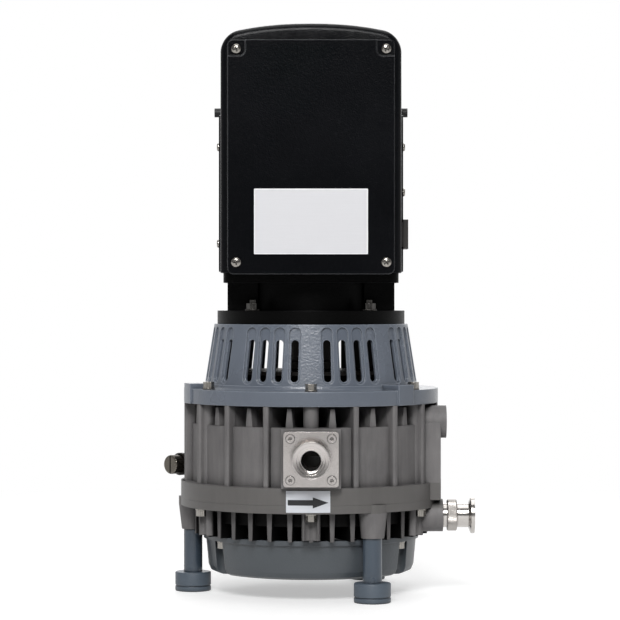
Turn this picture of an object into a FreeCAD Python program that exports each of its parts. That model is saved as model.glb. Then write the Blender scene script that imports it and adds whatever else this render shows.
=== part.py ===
import FreeCAD, Part
import math
import os
from FreeCAD import Vector

# Dry scroll vacuum pump standing on three legs with its shaft upright and its motor on top.
# Millimetres. The pump axis is Z, the floor is Z = 0, the inlet faces -Y, the exhaust +X.

# Legs and feet
foot_radius = 15.0
foot_height = 16.0
foot_sole_height = 4.0
foot_groove = 1.0
leg_radius = 7.8
leg_length = 36.0
leg_circle_radius = 99.0
leg_names = {"rear": 60.0, "left": 180.0, "front": 300.0}
leg_screw_radius = 3.0
floor_screw_hole_radius = 2.5
floor_screw_hole_depth = 8.0

# Pump casing, from the leg lugs up to the bell
casing_radius = 109.0
casing_wall_radius = 101.0
casing_rib_reach = 107.0
casing_rib_thickness = 5.0
casing_rib_round = 1.8
casing_rib_count = 18
cavity_radius = 95.0
lower_cavity_radius = 90.5
lower_wall_radius = 94.0
leg_lug_height = 21.0
leg_lug_radius = 9.5
leg_lug_top_radius = 12.0
leg_lug_web = 10.0
lower_flange_thickness = 6.5
upper_flange_thickness = 14.0
upper_casing_height = 79.0
casing_wall_top_gap = 17.0
cavity_floor_depth = 12.0
lower_plate_thickness = 6.0
upper_plate_thickness = 9.0
fin_thickness = 2.6
fin_root_thickness = 3.6
fin_end_thickness = 3.4
fin_end_root = 8.6
fin_end_inner_radius = 91.0
lower_fin_thickness = 3.2
lower_fin_root = 4.6
lower_fin_radius = 98.0
fin_count = 36
lower_fin_height = 12.0
fin_inner_radius = 36.0

# Clamp bolts through the joint of the casing, and the bolts that hold the bell
bolt_count = 6
clamp_bolt_circle = 103.5
bell_bolt_circle = 97.0
bolt_radius = 2.5
bolt_head_radius = 4.6
bolt_head_height = 5.0
bolt_washer_radius = 5.0
bolt_washer_thickness = 1.2
bolt_column_radius = 6.2
bolt_post_radius = 7.5
bolt_post_circle = 97.0
bolt_post_drop = 1.5
bolt_seat_room = 0.4
bolt_end_room = 3.0
clamp_hole_cover = 2.0
bolt_clearance = 0.3

# Scroll wraps
wrap_base_radius = 2.7
wrap_thickness = 3.6
wrap_height = 21.0
wrap_start_angle = 11.0
wrap_end_angle = 24.0
wrap_point_step = 0.45
wrap_running_gap = 0.35
tip_gap = 0.5
tip_seal_width = 1.6
tip_seal_depth = 1.2
tip_seal_inset = 0.6
orbit_plate_thickness = 8.0
orbit_plate_radius = 73.0
orbit_hub_radius = 22.0

# Crankshaft and its bearings
lower_journal_radius = 8.5
lower_bearing_radius = 20.0
lower_bearing_width = 12.0
upper_journal_radius = 12.5
upper_bearing_radius = 26.0
upper_bearing_width = 15.0
bearing_race_share = 0.3
bearing_recess_share = 0.12
crank_pin_radius = 12.0
pin_bearing_radius = 16.0
pin_bearing_width = 30.0
shaft_clearance = 0.05
hub_wall = 6.0
seal_width = 6.0
seal_shoulder = 1.5
seal_sink = 0.2

# Pin cranks that stop the moving scroll from turning
pin_crank_circle = 80.5
pin_crank_names = {"rear": 90.0, "left": 210.0, "right": 330.0}
pin_crank_journal_radius = 3.0
pin_crank_bearing_radius = 6.5
pin_crank_bearing_width = 5.0
pin_crank_web_radius = 8.2
pin_crank_web_thickness = 4.0
pin_crank_post_radius = 8.6
pin_crank_bore_room = 1.0
pin_crank_foot_reach = 2.0
pin_crank_head_reach = 0.5
scroll_lug_floor = 2.0

# Bell with its cooling slots, under the motor
bell_flange_radius = 106.5
bell_flange_thickness = 12.0
bell_pad_angles = (198.0, 316.0)
bell_pad_half_width = 9.0
bell_pad_rise = 4.5
bell_pad_proud = 1.5
bell_height = 53.5
bell_base_radius = 89.5
bell_top_radius = 81.0
bell_wall = 4.0
bell_top_bore_radius = 58.0
slot_pitch_angle = 9.0
slots_per_group = 4
slot_width = 6.2
slot_height = 34.0
slot_low = 7.0
flute_width = 9.6
flute_depth = 1.6
flute_height = 46.5

# Fan cover under the pump
fan_cover_radius = 90.0
fan_cover_bottom_radius = 86.0
fan_cover_height = 32.0
fan_cover_rim = 4.0
fan_cover_lip = 2.0
fan_cover_wall = 3.0
fan_cover_bottom_edge = 6.0
edge_turn = 0.3
fan_screw_circle = 83.5
fan_screw_pocket = 7.5
fan_ear_wall = 2.0
grille_ring_count = 5
grille_bar = 3.0
grille_gap = 7.6
grille_spokes = 6
grille_hub_radius = 12.0

# Fans
pump_fan_radius = 70.0
pump_fan_height = 14.0
pump_fan_blades = 9
bell_fan_radius = 70.0
bell_fan_height = 18.0
bell_fan_blades = 11
fan_blade_thickness = 2.2
fan_disc_thickness = 3.0
fan_hub_radius = 16.0

# Motor and the enclosure around it
motor_flange_radius = 78.5
motor_flange_thickness = 11.0
neck_height = 31.0
neck_half_width = 69.0
neck_web_inset = 44.0
neck_web_half_depth = 34.0
neck_barrel_radius = 54.0
neck_barrel_wall = 6.0
neck_plate_thickness = 8.0
stud_spacing = 95.0
stud_radius = 3.0
stud_height = 13.0
stud_washer_radius = 7.0
nut_radius = 5.6
nut_height = 5.0
stator_radius = 62.0
stator_bore_radius = 33.0
stator_height = 78.0
stator_slots = 12
winding_height = 14.0
winding_wall = 18.0
rotor_gap = 0.8
rear_shield_height = 20.0
rear_bearing_radius = 17.5
rear_bearing_width = 11.0
rear_journal_radius = 7.5
enclosure_half_width = 75.0
enclosure_half_depth = 80.0
enclosure_height = 206.0
enclosure_wall = 3.0
enclosure_arch = 4.0
enclosure_corner_radius = 16.0
front_cover_width = 141.0
front_cover_height = 196.0
front_cover_thickness = 6.0
front_cover_corner_radius = 9.0
front_cover_drop = 8.0
cover_screw_inset = 8.5
cover_screw_radius = 4.6
cover_screw_head = 2.6
side_panel_thickness = 1.8
side_panel_height = 128.0
side_panel_half_depth = 62.0
side_panel_corner = 5.0
side_knob_radius = 4.6
side_knob_length = 6.0
board_width = 126.0
board_height = 150.0
board_thickness = 1.6
socket_width = 31.0
socket_height = 24.0
socket_proud = 4.0

# Ports
port_bore_radius = 8.0
port_tube_radius = 10.0
port_flange_radius = 15.0
port_flange_thickness = 3.0
port_taper = 1.9
port_seat_radius = 8.6
port_seat_depth = 2.0
inlet_plate_size = 44.0
inlet_plate_thickness = 7.0
inlet_plate_corner = 2.5
inlet_nose_length = 18.0
inlet_screw_spacing = 33.0
inlet_pad_size = 48.0
inlet_pad_reach = 112.0
inlet_height = 117.4
inlet_duct_radius = 7.5
exhaust_boss_radius = 13.4
exhaust_boss_reach = 108.8
exhaust_nut_radius = 12.8
exhaust_nut_width = 8.0
exhaust_nose_length = 14.5
port_place = -34.0
port_boss_start = 76.0
port_bore_start = 90.0
upper_port_boss_reach = 111.6
upper_port_drop = 15.1
upper_port_bore_start = 96.0
duct_half_width = 14.0
duct_reach = 106.6
ballast_height = 106.0
ballast_turn = 48.0
ballast_seat_x = -108.3
ballast_seat_y = 3.0
ballast_boss_radius = 9.0
ballast_boss_length = 30.0
ballast_body_length = 4.0
ballast_body_radius = 9.4
ballast_knob_radius = 7.9
ballast_knob_length = 9.9
ballast_knob_edge = 1.2
ballast_bore_radius = 3.4
inlet_screw_radius = 2.0
inlet_screw_length = 10.0
inlet_screw_head = 3.4
inlet_screw_head_height = 4.0
inlet_screw_sink = 2.5
inlet_screw_room = 0.3
inlet_seal_inner = 1.1
inlet_seal_outer = 3.1
inlet_seal_room = 0.1
inlet_seal_depth = 1.0
discharge_radius = 4.0
discharge_place = 28.0
discharge_wall = 4.0
lower_gallery_drop = 3.5
upper_gallery_rise = 8.0
gallery_start = 21.0
lower_gallery_end = 88.0
upper_gallery_end = 91.5
duct_place = 97.5
bolt_length = 30.0
upper_fin_drop = 2.0
leg_screw_reach = 12.0
leg_room = 0.7
joint_seal_width = 2.4
joint_seal_inset = 1.4
joint_seal_depth = 1.8
retainer_thickness = 3.0
retainer_inset = 2.0
retainer_screw_radius = 2.0
retainer_screw_angles = (45.0, 165.0, 285.0)
retainer_bore_room = 4.0
fan_seat_radius = 7.0
shaft_low_gap = 6.0
motor_shaft_radius = 12.0
shaft_step_gap = 1.0
rear_step_gap = 4.0
fan_washer_rim = 3.0
fan_washer_thickness = 2.0
fan_screw_head_share = 0.6
fan_disc_rim = 4.0
fan_blade_lean = 18.0
fan_blade_drop = 0.5
weight_radius = 38.0
upper_weight_thickness = 9.0
lower_weight_thickness = 7.0
weight_gap = 1.5
weight_light_side = 2.0
weight_hub_wall = 6.0
lug_wall = 2.5
exhaust_bore_radius = 6.5
exhaust_thread_length = 9.0
exhaust_nut_gap = 3.5
valve_place = 1.0
valve_seat_radius = 4.5
valve_disc_room = 0.6
valve_disc_thickness = 1.5
valve_travel = 2.0
valve_stem_radius = 1.5
valve_stem_length = 8.0
spider_thickness = 2.0
spider_bar = 1.6
spider_root = 0.5
valve_stop_gap = 0.1
nut_edge = 0.8
plug_start = 8.0
plug_face = 1.0
plug_socket = 4.0
plug_socket_depth = 4.0
ballast_stem_radius = 2.0
ballast_stem_length = 6.0
ballast_thread_length = 8.0
knob_gap = 0.5
knob_notch_count = 24
knob_notch_radius = 0.7
knob_slot_width = 1.4
knob_slot_depth = 1.2
neck_plate_half = 71.5
neck_plate_corner = 10.0
end_clearance = 2.0
rear_bearing_rise = 4.0
stator_slot_radius = 4.2
stator_slot_centre = 9.0
stator_slot_mouth = 2.4
winding_inset = 3.0
winding_edge = 4.2
rotor_ring_inset = 3.0
rotor_ring_height = 4.0
shield_bore_room = 2.0
shield_rib = 3.0
shield_rib_height = 8.0
shield_rib_count = 6
shield_rib_turn = 15.0
shield_rib_inset = 4.0
frame_hole_room = 2.0
motor_frame_wall = 4.0
enclosure_edge_radius = 6.0
window_margin = 20.0
vent_count = 9
vent_low = 70.0
vent_pitch = 9.0
vent_height = 4.0
vent_half_width = 34.0
cover_pocket = 15.0
cover_pocket_depth = 2.2
cover_pocket_corner = 6.75
cover_screw_low = 13.0
cover_thread_radius = 2.0
cover_boss_depth = 10.0
cover_boss_wall = 2.5
cover_edge_round = 1.2
cover_seat_room = 0.8
screw_head_round = 0.6
screw_recess_start = 0.4
screw_cross_reach = 0.55
screw_cross_width = 1.0
side_panel_lift = 1.0
side_knob_stud = 2.0
side_knob_rise = 6.0
panel_screw_radius = 1.5
panel_screw_inset = 8.0
panel_screw_head = 3.3
panel_screw_head_height = 1.8
panel_screw_low = 24.0
panel_screw_high = 103.0
panel_screw_over_socket = 66.0
socket_place = -50.0
socket_rise = 31.5
socket_window_inset = 2.0
socket_body_room = 0.1
socket_well_wall = 4.2
socket_pin_spacing = 7.0
socket_earth_rise = 3.0
socket_pin_half = (1.0, 2.0)
socket_depth = 17.0
socket_well = 12.0
socket_pin_drop = 3.0
board_standoff = 2.0
board_rise = 24.0
board_post_radius = 3.0
board_post_inset = 7.0
capacitor_rise = 6.0
capacitor_radius = 9.0
capacitor_length = 26.0
capacitor_pitch = 30.0

# Levels up the pump, each from the one below
leg_top = foot_height + leg_length
lower_flange_low = leg_top + leg_lug_height
joint_level = lower_flange_low + lower_flange_thickness
upper_flange_top = joint_level + upper_flange_thickness
casing_top = joint_level + upper_casing_height
casing_wall_top = casing_top - casing_wall_top_gap
cavity_floor = joint_level - cavity_floor_depth
lower_plate_low = cavity_floor - lower_plate_thickness
lower_fin_low = lower_plate_low - lower_fin_height
orbit_low = cavity_floor + tip_gap + wrap_height
orbit_top = orbit_low + orbit_plate_thickness
cavity_ceiling = orbit_top + wrap_height + tip_gap
upper_plate_top = cavity_ceiling + upper_plate_thickness
bell_flange_top = casing_top + bell_flange_thickness
bell_top = bell_flange_top + bell_height
motor_flange_top = bell_top + motor_flange_thickness
neck_top = motor_flange_top + neck_height
enclosure_top = neck_top + enclosure_height
fan_cover_low = lower_fin_low - fan_cover_height

# Running parts
crank_throw = math.pi * wrap_base_radius - wrap_thickness - wrap_running_gap
lower_shoulder = 4.0
lower_bearing_top = cavity_floor - lower_shoulder
lower_bearing_low = lower_bearing_top - lower_bearing_width
lower_seal_radius = lower_journal_radius + lower_shoulder + seal_shoulder
upper_bearing_low = upper_plate_top + seal_width
upper_bearing_top = upper_bearing_low + upper_bearing_width
seat_gap = 0.02
port_height = joint_level - exhaust_boss_radius
upper_port_height = casing_top - upper_port_drop
lower_gallery_level = lower_plate_low - lower_gallery_drop
upper_gallery_level = upper_plate_top + upper_gallery_rise
bolt_angles = [270.0 + 360.0 / bolt_count * k for k in range(bolt_count)]
fan_screw_angles = (30.0, 150.0, 210.0, 330.0)
half_spacing = stud_spacing / 2
stud_places = [(x, y) for x in (-half_spacing, half_spacing) for y in (-half_spacing, half_spacing)]
grille_reach = grille_hub_radius + grille_ring_count * (grille_gap + grille_bar) + grille_gap
shaft_low = fan_cover_low + fan_cover_wall + shaft_low_gap
bell_fan_low = casing_top - upper_fin_drop + weight_gap + upper_weight_thickness
stator_low = neck_top + winding_height + end_clearance
stator_top = stator_low + stator_height
frame_top = stator_top + winding_height + end_clearance
rear_bearing_low = frame_top + rear_bearing_rise
cover_middle = front_cover_width / 2 - cover_screw_inset
front_cover_top = neck_top - front_cover_drop + front_cover_height
cover_screw_levels = (neck_top - front_cover_drop + cover_screw_low, front_cover_top - cover_screw_inset)
cover_screw_places = [(x, z) for x in (-cover_middle, cover_middle) for z in cover_screw_levels]
panel_edge = side_panel_half_depth - panel_screw_inset
panel_screw_levels = (neck_top + panel_screw_low, neck_top + panel_screw_high)
plain_panel_screws = [(y, z) for y in (-panel_edge, panel_edge) for z in panel_screw_levels]
socket_panel_screws = [(-panel_edge, neck_top + panel_screw_over_socket)] + plain_panel_screws[1:]
panel_screw_places = {-1: plain_panel_screws, 1: socket_panel_screws}
side_knob_level = neck_top + side_panel_lift + side_panel_height + side_knob_rise
socket_x = enclosure_half_width
socket_level = neck_top + socket_rise
board_low = neck_top + board_rise
board_edge = board_width / 2 - board_post_radius
board_post_levels = (board_low + board_post_inset, board_low + board_height - board_post_inset)
board_post_places = [(x, z) for x in (-board_edge, board_edge) for z in board_post_levels]
pin_web_top = orbit_low - tip_gap
pin_web_low = pin_web_top - pin_crank_web_thickness
pin_post_top = pin_web_low - tip_gap


def polar(radius, angle, height=0.0):
    turn = math.radians(angle)
    return Vector(radius * math.cos(turn), radius * math.sin(turn), height)


def cylinder(radius, low, high, centre=Vector(0, 0, 0)):
    base = Vector(centre.x, centre.y, low)
    return Part.makeCylinder(radius, high - low, base)


def cylinder_x(radius, start, end, y, z):
    return Part.makeCylinder(radius, end - start, Vector(start, y, z), Vector(1, 0, 0))


def cylinder_y(radius, start, end, x, z):
    return Part.makeCylinder(radius, end - start, Vector(x, start, z), Vector(0, 1, 0))


def cone(low_radius, high_radius, low, high, centre=Vector(0, 0, 0)):
    base = Vector(centre.x, centre.y, low)
    return Part.makeCone(low_radius, high_radius, high - low, base)


def ring(outer, inner, low, high, centre=Vector(0, 0, 0)):
    return cylinder(outer, low, high, centre).cut(cylinder(inner, low - 1, high + 1, centre))


def block(x_low, x_high, y_low, y_high, z_low, z_high):
    corner = Vector(x_low, y_low, z_low)
    return Part.makeBox(x_high - x_low, y_high - y_low, z_high - z_low, corner)


def fuse(shapes):
    shapes = list(shapes)
    if len(shapes) == 1:
        return shapes[0]
    return shapes[0].multiFuse(shapes[1:]).removeSplitter()


def cut(shape, tools):
    return shape.cut(Part.makeCompound(list(tools)))


def turned(shape, angle):
    copy = shape.copy()
    copy.rotate(Vector(0, 0, 0), Vector(0, 0, 1), angle)
    return copy


def moved(shape, x=0.0, y=0.0, z=0.0):
    copy = shape.copy()
    copy.translate(Vector(x, y, z))
    return copy


def revolved(points):
    corners = [Vector(radius, 0, height) for radius, height in points]
    face = Part.Face(Part.makePolygon(corners + corners[:1]))
    return face.revolve(Vector(0, 0, 0), Vector(0, 0, 1), 360)


def prism(points, low, high):
    corners = [Vector(x, y, low) for x, y in points]
    face = Part.Face(Part.makePolygon(corners + corners[:1]))
    return face.extrude(Vector(0, 0, high - low))


def rounded_plate(width, depth, radius, low, high):
    plate = block(-width / 2, width / 2, -depth / 2, depth / 2, low, high)
    upright = [edge for edge in plate.Edges if abs(edge.tangentAt(edge.FirstParameter).z) > 0.9]
    return plate.makeFillet(radius, upright)


def hexagon(radius, low, high, centre=Vector(0, 0, 0)):
    corners = [polar(radius, 60.0 * k) + centre for k in range(6)]
    return prism([(corner.x, corner.y) for corner in corners], low, high)


def turned_to_x(shape, y, z):
    copy = shape.copy()
    copy.rotate(Vector(0, 0, 0), Vector(0, 1, 0), 90)
    copy.translate(Vector(0, y, z))
    return copy


def turned_to_front(shape, x, z):
    copy = shape.copy()
    copy.rotate(Vector(0, 0, 0), Vector(1, 0, 0), 90)
    copy.translate(Vector(x, 0, z))
    return copy


def wrap_point(turn, side):
    reach = turn + side * wrap_thickness / 2 / wrap_base_radius
    x = wrap_base_radius * (math.cos(turn) + reach * math.sin(turn))
    y = wrap_base_radius * (math.sin(turn) - reach * math.cos(turn))
    return Vector(x, y, 0)


def wrap_flank(side, start, end):
    count = int((end - start) / wrap_point_step) + 1
    turns = [start + (end - start) * k / count for k in range(count + 1)]
    curve = Part.BSplineCurve()
    curve.interpolate([wrap_point(turn, side) for turn in turns])
    return curve


def wrap_strip(share, inset, low, high):
    # a wall along the wrap's middle line, its thickness a share of the wrap's
    start = wrap_start_angle + inset
    end = wrap_end_angle - inset
    inner = wrap_flank(-share, start, end)
    outer = wrap_flank(share, start, end)
    first = Part.makeLine(wrap_point(start, -share), wrap_point(start, share))
    last = Part.makeLine(wrap_point(end, -share), wrap_point(end, share))
    outline = Part.Wire([inner.toShape(), last, outer.toShape(), first])
    wall = Part.Face(outline).extrude(Vector(0, 0, high - low))
    return moved(wall, z=low)


def wrap_wall(low, high):
    return wrap_strip(1.0, 0.0, low, high)


def seal_groove_wall(low, high):
    # the tip seal lies in a groove along the middle of the wrap's edge
    return wrap_strip(tip_seal_width / wrap_thickness, tip_seal_inset, low, high)


def tapered_fin(inner, outer, low, high, low_width, high_width):
    # an upright blade along +X whose cast flanks lean
    corners = [Vector(inner, -low_width / 2, low), Vector(inner, low_width / 2, low),
               Vector(inner, high_width / 2, high), Vector(inner, -high_width / 2, high)]
    face = Part.Face(Part.makePolygon(corners + corners[:1]))
    return face.extrude(Vector(outer - inner, 0, 0))


def fin_ring(fin, every=1):
    return [turned(fin, 360.0 / fin_count * k) for k in range(0, fin_count, every)]


def lower_casing():
    body = [
        cylinder(lower_wall_radius, lower_plate_low, joint_level),
        cylinder(casing_radius, lower_flange_low, joint_level),
        cylinder(lower_bearing_radius + hub_wall, lower_fin_low, lower_plate_low),
    ]
    body += fin_ring(tapered_fin(fin_inner_radius - 2 * hub_wall, lower_fin_radius, lower_fin_low,
                                 lower_flange_low, lower_fin_thickness, lower_fin_root))
    for angle in leg_names.values():
        spot = polar(leg_circle_radius, angle)
        body.append(cone(leg_lug_radius, leg_lug_top_radius, leg_top, lower_flange_low, spot))
        body.append(cylinder(leg_lug_top_radius, lower_flange_low, joint_level, spot))
        body.append(turned(block(lower_wall_radius - leg_lug_radius, leg_circle_radius, -leg_lug_web / 2,
                                 leg_lug_web / 2, leg_top, lower_flange_low), angle))
    for angle in bolt_angles:
        body.append(cylinder(bolt_post_radius, lower_fin_low + bolt_post_drop, lower_flange_low,
                             polar(bolt_post_circle, angle)))
    for angle in fan_screw_angles:
        body.append(cylinder(bolt_column_radius, lower_fin_low, lower_plate_low,
                             polar(fan_screw_circle, angle)))
    body.append(cylinder_x(exhaust_boss_radius, port_boss_start, exhaust_boss_reach, port_place, port_height))
    side = discharge_radius + discharge_wall
    body.append(block(gallery_start, lower_gallery_end, port_place - side, port_place + side,
                      lower_fin_low, lower_plate_low))
    shape = fuse(body)
    holes = [
        cylinder(lower_cavity_radius, cavity_floor, joint_level + 1),
        ring(cavity_radius + joint_seal_inset + joint_seal_width, cavity_radius + joint_seal_inset,
             joint_level - joint_seal_depth, joint_level + 1),
        cylinder(lower_bearing_radius, lower_fin_low - 1, lower_bearing_top),
        cylinder(lower_seal_radius, lower_bearing_low, cavity_floor + 1),
        cylinder_x(port_bore_radius, port_bore_start, exhaust_boss_reach + 1, port_place, port_height),
        cylinder_x(discharge_radius, discharge_place, duct_place, port_place, lower_gallery_level),
        cylinder(discharge_radius, lower_gallery_level, cavity_floor + 1,
                 Vector(discharge_place, port_place, 0)),
        cylinder(discharge_radius, lower_gallery_level, joint_level + 1, Vector(duct_place, port_place, 0)),
    ]
    for angle in bolt_angles:
        spot = polar(clamp_bolt_circle, angle)
        holes.append(cylinder(bolt_washer_radius + bolt_seat_room, lower_fin_low, lower_flange_low, spot))
        holes.append(cylinder(bolt_radius + bolt_clearance, lower_flange_low - 1, joint_level + 1, spot))
    for angle in leg_names.values():
        spot = polar(leg_circle_radius, angle)
        holes.append(cylinder(leg_screw_radius, leg_top - 1, lower_flange_low, spot))
        holes.append(cylinder(leg_radius + leg_room, lower_fin_low - 1, leg_top, spot))
    for angle in fan_screw_angles:
        holes.append(cylinder(bolt_radius, lower_fin_low - 1, lower_plate_low,
                              polar(fan_screw_circle, angle)))
    shape = cut(shape, holes)
    posts = []
    for angle in pin_crank_names.values():
        spot = polar(pin_crank_circle, angle)
        post = cylinder(pin_crank_post_radius, cavity_floor, pin_post_top, spot)
        pocket = cylinder(pin_crank_bearing_radius, pin_post_top - pin_crank_bearing_width,
                          pin_post_top + 1, spot)
        drop = cylinder(pin_crank_journal_radius + pin_crank_bore_room, cavity_floor, pin_post_top, spot)
        posts.append(cut(post, [pocket, drop]))
    wall = wrap_wall(cavity_floor, cavity_floor + wrap_height)
    groove = seal_groove_wall(cavity_floor + wrap_height - tip_seal_depth, cavity_floor + wrap_height + 1)
    return fuse([shape, wall.cut(groove)] + posts)


def casing_rib():
    rib = block(cavity_radius + 3, casing_rib_reach, -casing_rib_thickness / 2,
                casing_rib_thickness / 2, upper_flange_top, casing_top)
    rims = [edge for edge in rib.Edges
            if abs(edge.CenterOfMass.x - casing_rib_reach) < 0.01
            and abs(edge.tangentAt(edge.FirstParameter).z) > 0.9]
    return rib.makeFillet(casing_rib_round, rims)


def upper_casing():
    hub_radius = upper_bearing_radius + hub_wall
    shell = ring(casing_wall_radius, cavity_radius, joint_level, casing_wall_top)
    flange = ring(casing_radius, cavity_radius, joint_level, upper_flange_top)
    plate = cylinder(cavity_radius + 1, cavity_ceiling, upper_plate_top)
    hub = cylinder(hub_radius, upper_plate_top, upper_bearing_top)
    body = [shell, flange, plate, hub]
    fin_top = casing_top - upper_fin_drop
    body += fin_ring(tapered_fin(hub_radius - 1, casing_wall_radius - 1, upper_plate_top, fin_top,
                                 fin_root_thickness, fin_thickness))
    body += fin_ring(tapered_fin(fin_end_inner_radius, casing_wall_radius - 1, upper_plate_top, fin_top,
                                 fin_end_root, fin_end_thickness), every=2)
    rib = casing_rib()
    for k in range(1, casing_rib_count):
        body.append(turned(rib, 270 + 360.0 / casing_rib_count * k))
    for angle in bolt_angles:
        spot = polar(bell_bolt_circle, angle)
        foot = inlet_height + inlet_pad_size / 2 if angle == 270.0 else upper_flange_top
        body.append(cylinder(bolt_column_radius, foot, casing_top, spot))
    port = cylinder_x(exhaust_boss_radius, port_boss_start, upper_port_boss_reach, port_place,
                      upper_port_height)
    duct = block(port_boss_start, duct_reach, port_place - duct_half_width, port_place + duct_half_width,
                 joint_level, upper_port_height)
    inside = cylinder(cavity_radius + 1, joint_level - 1, casing_top + 1)
    body += [port.cut(inside), duct.cut(inside)]
    side = discharge_radius + discharge_wall
    body.append(block(gallery_start, upper_gallery_end, port_place - side, port_place + side,
                      upper_plate_top, upper_gallery_level + side))
    body.append(at_ballast(cylinder(ballast_boss_radius, -ballast_boss_length, 0)))
    half_pad = inlet_pad_size / 2
    body.append(block(-half_pad, half_pad, -inlet_pad_reach, -cavity_radius + 4,
                      inlet_height - half_pad, inlet_height + half_pad))
    shape = fuse(body)
    bolt_low = casing_top - bolt_length + bell_flange_thickness
    holes = [
        cylinder(cavity_radius, joint_level - 1, cavity_ceiling),
        cylinder(upper_bearing_radius, upper_bearing_low, upper_bearing_top + 1),
        cylinder(crank_pin_radius + seal_width, cavity_ceiling - 1, upper_bearing_low + 1),
        cylinder_x(port_bore_radius, upper_port_bore_start, upper_port_boss_reach + 1, port_place,
                   upper_port_height),
        cylinder(discharge_radius, joint_level - 1, upper_port_height, Vector(duct_place, port_place, 0)),
        cylinder_x(discharge_radius, discharge_place, duct_place, port_place, upper_gallery_level),
        cylinder(discharge_radius, cavity_ceiling - 1, upper_gallery_level,
                 Vector(discharge_place, port_place, 0)),
        at_ballast(cylinder(ballast_bore_radius, -ballast_boss_length, 1)),
        cylinder_y(inlet_duct_radius, -inlet_pad_reach - 1, -cavity_radius + 2, 0, inlet_height),
    ]
    for angle in bolt_angles:
        holes.append(cylinder(bolt_radius, bolt_low - 1, casing_top + 1, polar(bell_bolt_circle, angle)))
        holes.append(cylinder(bolt_radius, joint_level - 1, upper_flange_top - clamp_hole_cover,
                              polar(clamp_bolt_circle, angle)))
    for x in (-inlet_screw_spacing / 2, inlet_screw_spacing / 2):
        for z in (-inlet_screw_spacing / 2, inlet_screw_spacing / 2):
            holes.append(cylinder_y(inlet_screw_radius, -inlet_pad_reach - 1,
                                    -inlet_pad_reach + inlet_screw_length, x, inlet_height + z))
    shape = cut(shape, holes)
    wall = wrap_wall(cavity_ceiling - wrap_height, cavity_ceiling)
    groove = seal_groove_wall(cavity_ceiling - wrap_height - 1,
                              cavity_ceiling - wrap_height + tip_seal_depth)
    return fuse([shape, wall.cut(groove)])


def bell():
    flange = cylinder(bell_flange_radius, casing_top, bell_flange_top)
    pad_reach = bell_flange_radius + bell_pad_proud
    pad = block(bell_top_radius, pad_reach + 1, -bell_pad_half_width, bell_pad_half_width,
                casing_top, bell_flange_top + bell_pad_rise)
    pad = pad.common(cylinder(pad_reach, casing_top, bell_top))
    skirt = cone(bell_base_radius, bell_top_radius, bell_flange_top, bell_top)
    shape = fuse([flange, skirt] + [turned(pad, angle) for angle in bell_pad_angles])
    inside = [
        cylinder(bell_base_radius - bell_wall, casing_top - 1, bell_flange_top),
        cone(bell_base_radius - bell_wall, bell_top_radius - bell_wall, bell_flange_top,
             bell_top - bell_wall),
        cylinder(bell_top_bore_radius, bell_top - bell_wall - 1, bell_top + 1),
    ]
    for angle in bolt_angles:
        spot = polar(bell_bolt_circle, angle)
        inside.append(cylinder(bolt_radius + bolt_clearance, casing_top - 1, bell_flange_top + 1, spot))
    for x, y in stud_places:
        inside.append(cylinder(stud_radius, bell_top - bell_wall - 1, bell_top + 1, Vector(x, y, 0)))
    shape = cut(shape, inside)
    count = int(round(360.0 / slot_pitch_angle))
    slots = []
    for k in range(count):
        if k % (slots_per_group + 1):
            slots.append(turned(bell_slot(), 270.0 + slot_pitch_angle * k))
            slots.append(turned(bell_flute(), 270.0 + slot_pitch_angle * k))
    return cut(shape, slots)


def stadium(width, low, high, start, end):
    half = width / 2
    top = Part.Arc(Vector(start, half, high - half), Vector(start, 0, high),
                   Vector(start, -half, high - half))
    bottom = Part.Arc(Vector(start, -half, low + half), Vector(start, 0, low),
                      Vector(start, half, low + half))
    left = Part.makeLine(Vector(start, -half, high - half), Vector(start, -half, low + half))
    right = Part.makeLine(Vector(start, half, low + half), Vector(start, half, high - half))
    outline = Part.Wire([top.toShape(), left, bottom.toShape(), right])
    return Part.Face(outline).extrude(Vector(end - start, 0, 0))


def bell_slot():
    low = bell_flange_top + slot_low
    return stadium(slot_width, low, low + slot_height, bell_top_radius - 3 * bell_wall,
                   bell_base_radius + bell_wall)


def bell_flute():
    lean = math.degrees(math.atan2(bell_base_radius - bell_top_radius, bell_height))
    low = bell_flange_top + slot_low - (flute_width - slot_width) / 2
    flute = stadium(flute_width, low, low + flute_height, -flute_depth, bell_wall)
    flute.rotate(Vector(0, 0, bell_flange_top), Vector(0, 1, 0), -lean)
    return moved(flute, x=bell_base_radius)


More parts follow.
